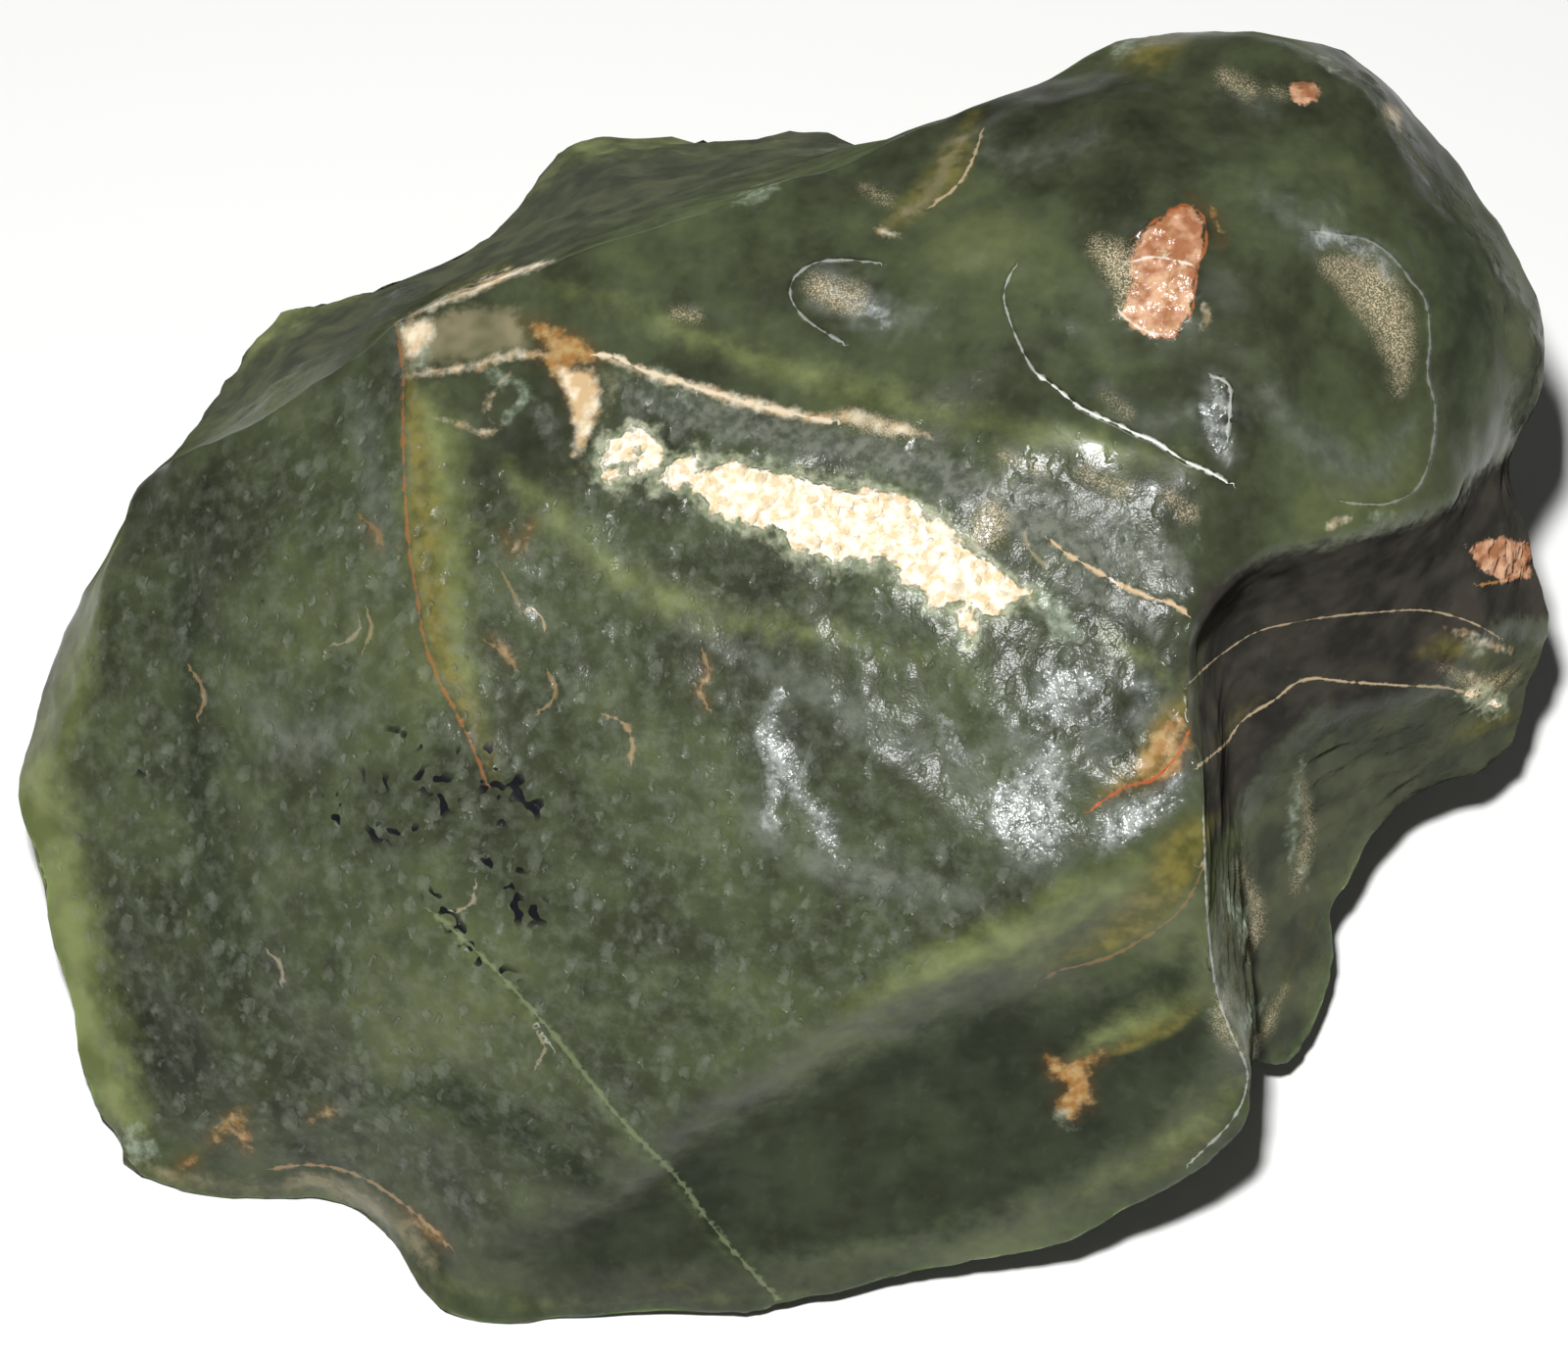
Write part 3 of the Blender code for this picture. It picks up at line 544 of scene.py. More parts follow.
    def build(self) -> tuple[Grid, Array]:
        """Builds the worn form on the finest grid, with no relief on it yet."""
        grid = Grid(self.coarsest)
        points = self.cast(grid.directions)[0]
        for rounds in self.relax_rounds:
            points = self.relaxed(grid, points, rounds)
            if grid.cells * 2 < self.finest:
                finer = Grid(grid.cells * 2)
                points, grid = grid.refined(points, finer), finer
        points = self.drawn_onto_lines(grid, points)
        points = self.worn(grid, points, self.wear_passes)
        finer = Grid(self.finest)
        points, grid = grid.refined(points, finer), finer
        give = np.maximum(1 - self.resistance(points), 0.3)[:, None]
        for _ in range(3):
            points = points + 0.5 * give * (grid.averaged(points) - points)
        points[:, 2] -= self.rest_cut
        return grid, points


def span_gaps(points: Array, run: Array) -> tuple[Array, Array, Array]:
    """Measures points against a run of straight spans.

    Args:
        points: The points, in two or three dimensions.
        run: The run's points, in the same dimensions.

    Returns:
        Each point's distance to the run, the number of its nearest span, and its share of that span.
    """
    start, way = run[:-1], np.diff(run, axis=0)
    length = np.maximum((way**2).sum(axis=1), 1e-9)
    best = np.full(len(points), np.inf)
    nearest = np.zeros(len(points), int)
    share = np.zeros(len(points))
    for number, (origin, step, size) in enumerate(zip(start, way, length)):
        offset = points - origin
        along = np.clip(offset @ step / size, 0, 1)
        gap = ((offset - along[:, None] * step) ** 2).sum(axis=1)
        closer = gap < best
        best[closer], nearest[closer], share[closer] = gap[closer], number, along[closer]
    return np.sqrt(best), nearest, share


@dataclass(frozen=True)
class Ripples:
    """A seeded sum of plane waves: an even, restless field with a spread of about one."""

    wavelength: float
    seed: int
    waves: int = 28
    stretch: Point = (1.0, 1.0, 1.0)

    def at(self, points: Array) -> Array:
        """The field's value at each point: the waves' sines added up.

        Args:
            points: Points over the ground.

        Returns:
            One value a point.
        """
        random = np.random.default_rng(self.seed)
        ways = unit(random.normal(size=(self.waves, 3)))
        ways *= (2 * math.pi / self.wavelength) * random.uniform(0.6, 1.5, (self.waves, 1))
        phases = random.uniform(0, 2 * math.pi, self.waves)
        scaled = points / np.array(self.stretch)
        return np.sin(scaled @ ways.T + phases).sum(axis=1) * math.sqrt(2 / self.waves)


@dataclass(frozen=True)
class Scallop:
    """A shallow shell-shaped hollow on the worn face, in seen millimetres and degrees."""

    across: float
    up: float
    half_width: float
    half_height: float
    turn: float
    depth: float
    brink: float = 1.5

    def depths(self, seen: Array) -> Array:
        """How deep it is at each seen point: the depth times (1 - the ellipse's radius²) to the brink."""
        turn = math.radians(self.turn)
        across, up = seen[:, 0] - self.across, seen[:, 1] - self.up
        along = (across * math.cos(turn) + up * math.sin(turn)) / self.half_width
        over = (up * math.cos(turn) - across * math.sin(turn)) / self.half_height
        return self.depth * np.clip(1 - along**2 - over**2, 0, None) ** self.brink


@dataclass(frozen=True)
class Step:
    """A broken step: the side on the left of the run stands higher, and fades back from its brink."""

    height: float
    fade: float
    points: Sequence[Point]
    softness: float = 0.5

    def heights(self, seen: Array) -> Array:
        """How high it lifts each seen point: a steep rise across the run, an exponential fall behind it."""
        run = smooth_run(self.points, 1.5)
        gap, span, share = span_gaps(seen, run)
        way = np.diff(run, axis=0)[span]
        offset = seen - run[span]
        inland = np.sign(leftward(way, offset)) * gap
        past_end = np.abs((offset * unit(way)).sum(axis=1) - share * np.linalg.norm(way, axis=1))
        rise = 0.5 + 0.5 * np.tanh(inland / self.softness)
        taper = np.sin(math.pi * np.clip((span + share) / len(way), 0.02, 0.98)) ** 0.5
        return self.height * rise * taper * np.exp(-np.clip(inland, 0, None) / self.fade - past_end)


@dataclass(frozen=True)
class Dimples:
    """Many small elliptical pits, one to each cell of a shaken lattice."""

    spacing: float
    half_length: float
    half_width: float
    turn: float
    sway: float
    depth: float
    share: float
    seed: int
    table: int = 128

    def depths(self, seen: Array) -> Array:
        """How deep the pits are at each seen point.

        A point looks at the pits of its own cell and the eight round it. A pit's depth falls off as one
        minus the square of its ellipse's radius, and where two meet the deeper one counts.

        Args:
            seen: (across, up) of each point.

        Returns:
            One depth a point.
        """
        chances = np.random.default_rng(self.seed).random((self.table, self.table, 6))
        cell = np.floor(seen / self.spacing).astype(int)
        depth = np.zeros(len(seen))
        for step in ((i, j) for i in (-1, 0, 1) for j in (-1, 0, 1)):
            home = cell + step
            chance = chances[home[:, 0] % self.table, home[:, 1] % self.table]
            across, up = (seen - (home + chance[:, :2]) * self.spacing).T
            size = 0.55 + 0.9 * chance[:, 2]
            turn = np.radians(self.turn + self.sway * (2 * chance[:, 3] - 1))
            along = (across * np.cos(turn) + up * np.sin(turn)) / (self.half_length * size)
            over = (up * np.cos(turn) - across * np.sin(turn)) / (self.half_width * size)
            pit = np.clip(1 - along**2 - over**2, 0, None) * (0.5 + 0.5 * chance[:, 5])
            depth = np.maximum(depth, pit * (chance[:, 4] < self.share))
        return self.depth * depth


class Side(Enum):
    """Which side of a stroke's run it colours, as one goes along it."""

    BOTH = 0
    LEFT = 1
    RIGHT = -1


@dataclass(frozen=True)
class Stroke:
    """A painted stroke, in seen millimetres: (across, up, half its width) at each point of its run."""

    points: Sequence[Point]
    side: Side = Side.BOTH
    hardness: float = 3.0

    def cover(self, seen: Array, reach: float) -> Array:
        """How far each seen point is inside the stroke: half its width there less the distance to its run.

        On a one-sided stroke the run is a border, and the cover falls as many times faster beyond it as
        the stroke is hard.

        Args:
            seen: (across, up) of each point.
            reach: The cover is kept within this much either way.

        Returns:
            Millimetres inside the stroke, negative outside it.
        """
        run = smooth_run(self.points, 1.2)
        cover = np.full(len(seen), -reach)
        near = close_by(seen, run[:, :2], run[:, 2].max() + reach)
        gap, span, share = span_gaps(seen[near], run[:, :2])
        inside = run[span, 2] * (1 - share) + run[span + 1, 2] * share - gap
        if self.side is not Side.BOTH:
            way = unit(np.diff(run[:, :2], axis=0))[span]
            beside = leftward(way, seen[near] - run[span, :2])
            beside = np.sign(beside) * np.minimum(np.abs(beside), gap)
            inside = np.minimum(inside, self.hardness * self.side.value * beside)
        cover[near] = np.clip(inside, -reach, reach)
        return cover


@dataclass(frozen=True)
class Patch:
    """An area with a drawn outline, in seen millimetres."""

    outline: Sequence[Point]

    def cover(self, seen: Array, reach: float) -> Array:
        """How far each seen point is inside the outline: its distance to it, negative outside.

        Args:
            seen: (across, up) of each point.
            reach: The cover is kept within this much either way.

        Returns:
            Millimetres inside the outline.
        """
        run = np.array([*self.outline, self.outline[0]], float)
        inside = np.zeros(len(seen), bool)
        for (ax, ay), (bx, by) in zip(run, run[1:]):
            crosses = (ay > seen[:, 1]) != (by > seen[:, 1])
            if crosses.any():
                at = ax + (seen[:, 1] - ay) / (by - ay) * (bx - ax)
                inside ^= crosses & (seen[:, 0] < at)
        near = close_by(seen, run, reach)
        cover = np.full(len(seen), -reach)
        cover[near] = np.where(inside[near], 1, -1) * np.minimum(span_gaps(seen[near], run)[0], reach)
        return cover


@dataclass(frozen=True)
class Vein:
    """A thin line on the worn face or the wall beside it, in seen millimetres.

    Its tint goes from 0, pale green, through 0.15, near white, which paints highlights on sharp rims, 1/3,
    cream, and 2/3, orange, to 1, red. A bead is how far it stands up, as the sharp rim of a scallop does,
    and a bead alone has a strength of 0.
    """

    half_width: float
    tint: float
    points: Sequence[Point]
    strength: float = 1.0
    bead: float = 0.0


class Mark(Enum):
    """The stone's markings. Each one's value names the attribute that carries its cover."""

    WALL = "wall"  # the smooth brown-black wall
    ROUGH = "rough"  # the streaky brown-grey break behind the worn face
    PAINTED_SHADE = "shade"  # painted shade: darker green on the lower facet, which faces away from the light, and darker streaks
    PAINTED_SHEEN = "painted_sheen"  # painted sheen: soft grey where the surface catches the light
    SLATE_AND_SHEEN = "slate_and_sheen"  # grey where the break is matt, partly a painted sheen on the band below the neck
    PAINTED_GLOW = "painted_glow"  # painted glow: light green where light shines through thin rims and edges
    OCHRE = "ochre"  # yellow-olive iron staining under the surface
    RUST = "rust"  # orange and red iron staining
    FROST = "frost"  # pale green-white cloudiness
    CREAM = "cream"  # smooth cream weathering rind
    CRUST = "crust"  # rough chalky crust
    INCLUSION = "inclusion"  # pink-tan crystals
    BRUISED_AND_GLARE = "bruised_and_glare"  # skin crushed grey by blows, partly painted glare and sheen with white glints
    GLASS = "glass"  # clear tan rind
    GRAIN = "grain"  # sandy glints
    SPECKS = "specks"  # black flecks
    PITTED = "pitted"  # closely pitted skin
    STEEP = "steep"  # turned away from the worn face, so never polished


MARKS: dict[Mark, list[Stroke | Patch]] = {}
MARKS[Mark.WALL] = [
    Patch([(52, 8.5), (52.5, 11.5), (54.5, 13), (59, 15.5), (64, 17), (68, 18), (73.5, 19), (77.5, 20),
           (81, 21), (84, 22.5), (86, 23.5), (87.5, 26.5), (91, 28.5), (95, 30), (105, 29), (105, 6.5),
           (92.5, 6.5), (87.5, 4), (85, -1), (75, -3.5), (67.5, -5), (62.5, -10), (57.5, -20), (54, -23.5),
           (53, -17.5), (53, -11), (52, -6), (52, 1.5)]),
]
MARKS[Mark.ROUGH] = [
    Patch([(-78, 28), (-70, 32), (-62.5, 36.5), (-55, 41), (-49, 46.5), (-44, 48.5), (-37.5, 50.5),
           (-32, 52), (-26, 55), (-20, 57), (-12.5, 59.5), (-5, 61.5), (2.5, 64.5), (9, 66.5), (13, 68.5),
           (10, 74), (-12.5, 79), (-35, 76.5), (-50, 59), (-75, 49), (-85, 34)]),
    Patch([(53.5, -26), (57.5, -20), (62.5, -10.5), (67.5, -5.5), (75, -4), (85, -1.5), (87.5, 3.5),
           (92.5, 6), (105, 6), (105, -8.5), (85, -17.5), (75, -21), (71, -28.5), (67.5, -46), (60.5, -52),
           (58, -45), (55, -40), (54, -33.5)]),
    Stroke([(62.5, 82, 1.2), (67.5, 79, 1.6), (74, 76, 1.6), (76, 72.5, 1.6), (80, 67.5, 1.8),
            (84, 62.5, 2.2), (88, 56.5, 2.6), (91, 50, 3), (94, 45, 3.2), (95.5, 39, 3), (94, 32.5, 2.6)]),
]
# Painted shade: the lower facet that faces away from the light, and darker streaks on the left facet, beside
# the yellow step and on the head
MARKS[Mark.PAINTED_SHADE] = [
    Patch([(-37.5, -74), (-30, -68.5), (-20, -63), (-12.5, -56.5), (0, -50), (12.5, -44), (25, -39),
           (35, -39), (42.5, -36.5), (50, -32.5), (53, -28.5), (54, -33.5), (55, -40), (58, -46),
           (55, -52.5), (47.5, -60), (35, -67.5), (22.5, -73), (6, -76), (-12.5, -77.5), (-30, -78.5)]),
    Patch([(14, 67.5), (20, 71), (19.5, 66.5), (18, 62.5), (15, 60), (13, 61)]),
    Stroke([(-35, -26, 1.6), (-25, -40, 2), (-15, -52.5, 1.6)]),
    Stroke([(-55, -53.5, 2.6), (-44, -53.5, 5), (-34, -57.5, 5), (-22.5, -66, 3.6)]),
    Stroke([(-59, 16.5, 1.5), (-56, 1.5, 2.4), (-59, -11, 1.5)]),
    Stroke([(-76, 21.5, 3), (-76, 1.5, 4), (-74, -20, 4.4), (-70, -40, 3.6)]),
    Stroke([(-50.5, 43.5, 0.8), (-51, 32.5, 1.5), (-50.5, 21.5, 1.6), (-49, 10, 1.6), (-47, 0, 1.6),
            (-43.5, -8.5, 1.6), (-40, -14, 1)]),
    Stroke([(85, 57.5, 5), (87.5, 46.5, 6), (86, 34, 4)]),
    Stroke([(31, 49, 2), (39, 39, 3), (50, 32.5, 2)]),
]
# Painted sheen: soft grey haze where the surface catches the light, on the head and the facets
MARKS[Mark.PAINTED_SHEEN] = [
    Stroke([(59, 63.5, 2), (64, 59.5, 4), (69, 56, 3)]),
    Stroke([(61, 36.5, 3), (67.5, 30, 5), (75, 26.5, 4.5), (80, 31.5, 3)]),
    Stroke([(41, 37.5, 3), (46, 32.5, 3.6), (52, 34, 2.6)]),
    Stroke([(6, 49, 4), (12.5, 46.5, 4), (20, 45, 2.4)]),
    Stroke([(22.5, 67.5, 1.6), (30, 66.5, 3.4), (39, 69, 3)]),
    Stroke([(55, 74, 2), (62.5, 72.5, 2.6)]),
    Stroke([(-59, 37.5, 2), (-54, 34, 3.4), (-52, 21.5, 3.4), (-50, 11.5, 2.4)]),
    Stroke([(-70, -1, 3), (-62.5, -8.5, 4.5), (-52.5, -3.5, 3)]),
    Stroke([(-12.5, 6.5, 2.4), (2.5, -1, 4), (15, -8.5, 4.6), (25, -13.5, 4)]),
    Stroke([(-5, -20, 3), (12.5, -26, 4.6), (25, -28.5, 3.4)]),
    Stroke([(32.5, -1, 3.6), (39, -6, 4.4), (41, -12.5, 3.6)]),
]
# Grey of the matt break, partly a painted sheen on the band below the neck
MARKS[Mark.SLATE_AND_SHEEN] = [
    Stroke([(-20, 36.5, 2.4), (-12.5, 34, 3.2), (-2.5, 31.5, 3.4), (7.5, 29, 3.2), (17.5, 26.5, 3.6),
            (25, 23.5, 4.4), (35, 20, 5.6), (44, 16.5, 5.2), (49.5, 13.5, 3.2)]),
    Stroke([(-34, 37, 0.8), (-31, 34, 1.8), (-29, 30, 1.8)]),
    Stroke([(36, 12.5, 3), (42.5, 10, 3), (47.5, 6.5, 2)]),
]
# Crushed skin, partly painted highlights: the glare on the hammered patches right of the middle and the sheen
# in the head's scallops
MARKS[Mark.BRUISED_AND_GLARE] = [
    Stroke([(-0.2, -1.1, 0.6), (-1.8, -4.6, 1.4), (-2.6, -7.7, 2), (-0.9, -10.1, 2.2), (0.8, -12.9, 2.4),
            (2.4, -15.6, 1.8), (4.6, -17.6, 2), (5.4, -20.2, 1.8), (6.4, -23.4, 0.8)]),
    Stroke([(-0.9, -14.2, 1.4), (-1.9, -17.6, 1.6), (-0.6, -19.6, 0.8)]),
    Stroke([(-5.5, -8.3, 1.2), (-5.4, -9.6, 1.2)]),
    Stroke([(18.5, -4.8, 0.4), (20.8, -6.3, 0.9), (23.4, -10.9, 0.6)]),
    Patch([(32.2, -0.4), (34.6, 2.2), (38.5, 1.6), (41.2, 0.2), (39.2, -2.6), (35.2, -6.3), (30.6, -4.3)]),
    Patch([(33, -7.6), (35.5, -7.8), (36.5, -11.1), (36.2, -17.6), (35.2, -23.4), (32, -24.3),
           (27.5, -21.3), (24.8, -17.6), (24.2, -14.9), (26.8, -13.3), (29.4, -11.6)]),
    Stroke([(28.5, -5.6, 0.9), (29.5, -7.3, 1), (32.5, -7.6, 0.7)]),
    Stroke([(43.8, -1.1, 0.6), (46.4, -1.1, 1), (47.2, -3.1, 0.9), (43.8, -5.4, 0.5)]),
    Patch([(55, 38.4), (56.8, 37.4), (56.9, 28.9), (55.2, 27.7), (53, 31.4), (53.4, 35.4)]),
    Stroke([(5.8, 50.2, 1.4), (9.4, 48.3, 2.2), (12.5, 46.2, 1.4)]),
    Stroke([(66, 55.9, 0.6), (68.8, 56.3, 1.2), (73.1, 55.2, 1.5), (76.2, 52.9, 1.1), (78, 50.8, 0.6)]),
    Stroke([(26.2, 21.4, 0.6), (25.5, 16.4, 1.6), (24.5, 12.7, 0.8)]),
    Patch([(39.9, -17.6), (42.5, -15.8), (47.1, -13.8), (50.4, -11.3), (52.1, -12.9), (50.4, -16.2),
           (47.1, -19.4), (43.8, -21.4), (39.9, -22.8), (39.2, -19.8)]),
]
# Painted glow of light through the thin rims, edges and ridges
MARKS[Mark.PAINTED_GLOW] = [
    Stroke([(-84, 24, 1.6), (-87.5, 11.5, 3.2), (-91, -1, 5), (-95, -12.5, 6.4), (-94, -23.5, 8),
            (-92, -33.5, 8), (-89, -46, 8), (-84, -56, 6)]),
    Stroke([(-82.5, -61.5, 1.6), (-75, -65.5, 1.6), (-66, -66.5, 1.6), (-59, -66, 1.6), (-50, -70, 1.8),
            (-45, -76, 2.2), (-37.5, -79, 2), (-25, -80, 1.6), (-10, -79, 1.4), (4, -78.5, 1.2)]),
    Stroke([(-45, -30, 1.6), (-40, -34, 2.4), (-35, -39, 2.8), (-30, -45, 2.8), (-25, -51, 2.6),
            (-20, -57.5, 2.4), (-14, -63.5, 2.2), (-9, -70.5, 2), (-4, -76, 1.6)], Side.RIGHT),
    Stroke([(-77.5, 31.5, 2), (-71, 40, 3.4), (-64, 46.5, 4.4), (-57.5, 48.5, 3.4), (-51, 50, 2)]),
    Stroke([(-40, 56, 1.6), (-34, 61.5, 2.8), (-29, 67, 3.6), (-20, 68.5, 3.2), (-10, 68.5, 2.6),
            (0, 69, 1.8)]),
    Stroke([(-30, 50, 2.4), (-20, 47, 3), (-10, 43, 3.4), (0, 39.5, 3.6), (12.5, 35.5, 3.6),
            (25, 32.5, 3.4), (37.5, 30, 3.2), (52.5, 26.5, 3)]),
    Stroke([(44, -25, 4.4), (34, -31, 6), (21, -36.5, 5.4), (7.5, -43.5, 3.4)]),
    Stroke([(-46, 35, 4), (-44.5, 29, 6), (-44, 21.5, 6.4), (-43.5, 11.5, 6), (-41, 1.5, 4.4),
            (-37.5, -8.5, 2.6)]),
    Stroke([(-35, 26.5, 3), (-25, 16.5, 4), (-12.5, 9, 4), (0, 6.5, 3.4), (12.5, 4, 3), (25, 0, 2.4)]),
    Stroke([(40, 6.5, 3), (49, 0, 2.6)]),
    Stroke([(37.5, -66.5, 2.4), (46, -61.5, 3.4), (54, -56, 3.4), (58, -51, 2.4)]),
    Stroke([(37.5, -48, 2.4), (41, -46, 4), (46, -44, 4.4), (50.5, -42, 3.4), (53.5, -40, 2)]),
]
MARKS[Mark.GLASS] = [
    Stroke([(-83.2, -61.8, 1), (-75, -64.4, 1.6), (-66.2, -65.3, 1.6), (-58.8, -64.6, 1.8), (-50, -68.8, 2),
            (-45, -74.8, 1.6)]),
    Patch([(-49.5, 44.4), (-46, 46.2), (-40, 48.4), (-34.2, 48.2), (-32.5, 45.2), (-30.5, 41.2),
           (-35, 40.6), (-41.2, 39.4), (-48.5, 37.9)]),
    Stroke([(-23.5, 39.9, 1), (-21.8, 36.4, 1.2), (-23, 31.4, 0.8)]),
    Stroke([(24.2, 70.4, 0.7), (22.2, 67.7, 1.4), (20.2, 64.2, 1.7), (17.5, 60.7, 1.6), (14, 57.9, 1.1)]),
    Stroke([(-30, 25.6, 0.4), (-27.2, 26.3, 0.9), (-24.5, 26.4, 0.5)]),
]
MARKS[Mark.OCHRE] = [
    Stroke([(-48.6, 38.3, 3), (-48.6, 32.7, 5), (-48.5, 26.4, 6), (-48.2, 21.4, 6.2), (-47.9, 16.4, 6.2),
            (-46.9, 10.9, 6), (-46.1, 6.2, 5.6), (-45.1, 2.6, 5), (-43.5, -0.8, 4.6), (-42, -3.7, 4.2),
            (-40.5, -6.7, 3.8), (-39, -9.8, 3.4), (-37.5, -13.6, 2.4), (-36.6, -15.4, 1.2)], Side.LEFT),
    Stroke([(32.5, -38.9, 2), (35.1, -37.4, 3), (38, -36.7, 4), (41.6, -35.6, 5.5), (45, -33.8, 6.5),
            (47.9, -31.9, 7.5), (50.5, -29.7, 8), (52.2, -27.1, 8), (53.4, -24.1, 8)], Side.LEFT),
    Stroke([(39, -48.8, 1.2), (42.5, -48.8, 3), (45.4, -47.8, 4.2), (49, -46.3, 4.6), (52, -44.3, 3.8),
            (54.2, -42.3, 2.4)], Side.LEFT),
    Stroke([(38.8, -17.1, 1.5), (41.2, -15.6, 3), (44, -13.9, 4.5), (46.9, -13.2, 6), (49.6, -10.8, 7),
            (50.8, -8.7, 7), (51.4, -6.7, 6)], Side.LEFT),
    Stroke([(51.5, 5.2, 0.6), (51.1, 0.2, 1.2), (50.8, -3.6, 1.9), (50.6, -6.7, 2.3)]),
    Stroke([(24.8, 72.4, 1.4), (23, 68.9, 3), (21, 65.2, 3.8), (18.2, 61.7, 3.2), (15, 58.9, 2.6),
            (12.5, 57.2, 1.6)]),
    Stroke([(43.5, 78.9, 3), (46.9, 79.9, 4.2), (49.4, 80.7, 3.4), (51.2, 81.4, 2)]),
    Stroke([(-30.5, 25.6, 0.3), (-27.5, 26.2, 0.8), (-24.5, 26.7, 0.9)]),
    Stroke([(12.5, 57.3, 0.8), (14.2, 56.7, 1.2), (16.2, 57.9, 0.8)]),
    Stroke([(87.5, 30.9, 0.9), (89, 29.2, 1.3), (91, 27.9, 0.8)]),
    Stroke([(80, 2.9, 1.2), (84.4, 3.9, 2.6), (88.8, 2.9, 2.4)]),
    Stroke([(86.5, -0.4, 1.2), (89.4, -1.7, 2.4), (92.5, 0.2, 2)]),
    Stroke([(-78.1, -62.8, 1), (-75.5, -61.1, 1.2), (-72.2, -58.3, 1.8), (-69.6, -55.8, 1.8),
            (-66.8, -54.1, 1), (-65, -53.4, 0.4)]),
    Stroke([(-90, 6.4, 0.9), (-91.2, 3.9, 1.2), (-92.8, 0.2, 1)]),
    Stroke([(-58.8, -63.6, 0.8), (-53.5, -65.1, 1), (-49.9, -67.3, 1.2), (-46.1, -70.4, 1.2),
            (-43.1, -72.9, 1)]),
    Stroke([(85, -8.2, 1.2), (88.8, -6.3, 2), (93.1, -4.8, 1.8)]),
    Stroke([(-1.2, 52.9, 0.5), (-3.1, 51.4, 0.6), (-5, 49.6, 0.5)]),
    Stroke([(55, -8.6, 1), (57.8, -4.8, 1.4), (61.2, -2.6, 1)]),
    Stroke([(-46.2, 48.9, 0.8), (-40, 50.8, 1.2), (-35, 52.4, 1.2)]),
    Stroke([(-17.5, -77.7, 1.2), (-13.8, -77.3, 1.5), (-11.2, -78.1, 1)]),
    Stroke([(43.8, -64.3, 0.8), (50, -61.1, 1.8), (55, -57.3, 1.6)]),
    Stroke([(57.8, -38.6, 0.8), (56.5, -33.6, 1.2), (57.8, -26.1, 1)]),
    Stroke([(60, -46.1, 0.8), (62.5, -42.3, 1.2), (67.5, -31.1, 1)]),
]
MARKS[Mark.RUST] = [
    Stroke([(41, -15.4, 0.5), (43.8, -13.8, 1), (46.9, -12.9, 1.3), (49.5, -10.7, 1.5), (50.8, -8.6, 1.4)]),
    Stroke([(50.6, -5.4, 1), (48.8, -9.2, 1.4)]),
    Patch([(33.2, -47.8), (36, -48.9), (38.9, -48.1), (41.9, -47.6), (43.5, -47.2), (41, -48.9),
           (39.4, -50.3), (39.8, -54.7), (38.5, -55.1), (37.5, -56.3), (35.4, -56.1), (34.2, -54.3),
           (35.5, -52.6), (33.2, -50.6)]),
    Patch([(-34, 45.9), (-31, 45.9), (-23.5, 41.4), (-23.8, 39.9), (-27.5, 39.2), (-30.5, 41.2)]),
    Patch([(43.2, -14.6), (44.5, -10.6), (47, -6.3), (49.5, -3.8), (50.8, -6.1), (50.5, -8.8),
           (48.2, -11.3), (45.2, -13.6)]),
    Stroke([(-31.5, 44.9, 0.7), (-28.8, 43.3, 1.6), (-25.6, 41.7, 1.6), (-23.5, 40.9, 0.7)]),
    Stroke([(-31, 41.3, 0.8), (-28.5, 39.2, 1.4), (-27, 36.4, 1.1), (-26.2, 32.7, 0.7)]),
    Stroke([(51.5, 61.4, 0.1), (55, 58.9, 0.5), (55.8, 55.2, 0.3)]),
    Stroke([(-73.1, -59.2, 0.8), (-71.9, -58.3, 1), (-70, -56.1, 1.1), (-69.2, -57.3, 1.1),
            (-68.6, -59.6, 0.9), (-68.2, -60.8, 0.4)]),
    Stroke([(-76.9, -62.3, 0.9), (-75.4, -61.8, 0.8)]),
    Stroke([(-60.5, -56.7, 0.4), (-58.6, -55.7, 0.6), (-56.8, -55.2, 0.5)]),
    Stroke([(-35.6, 18.3, 0.6), (-34.4, 16.4, 0.9), (-33.1, 17.7, 0.7), (-31.9, 19.6, 0.7)]),
    Stroke([(-53.5, 19.9, 0.3), (-52.2, 18.3, 0.6), (-51.8, 16.4, 0.4)]),
    Stroke([(-37.5, 5.2, 0.3), (-36, 3.7, 0.6), (-34.5, 1.7, 0.4)]),
    Stroke([(-10.2, 2.9, 0.3), (-9.8, 0.2, 0.5), (-11, -1.3, 0.5), (-9.8, -3.3, 0.3)]),
    Stroke([(-48, -68.1, 0.6), (-45, -70.8, 0.8), (-43.1, -72.6, 0.6)]),
]
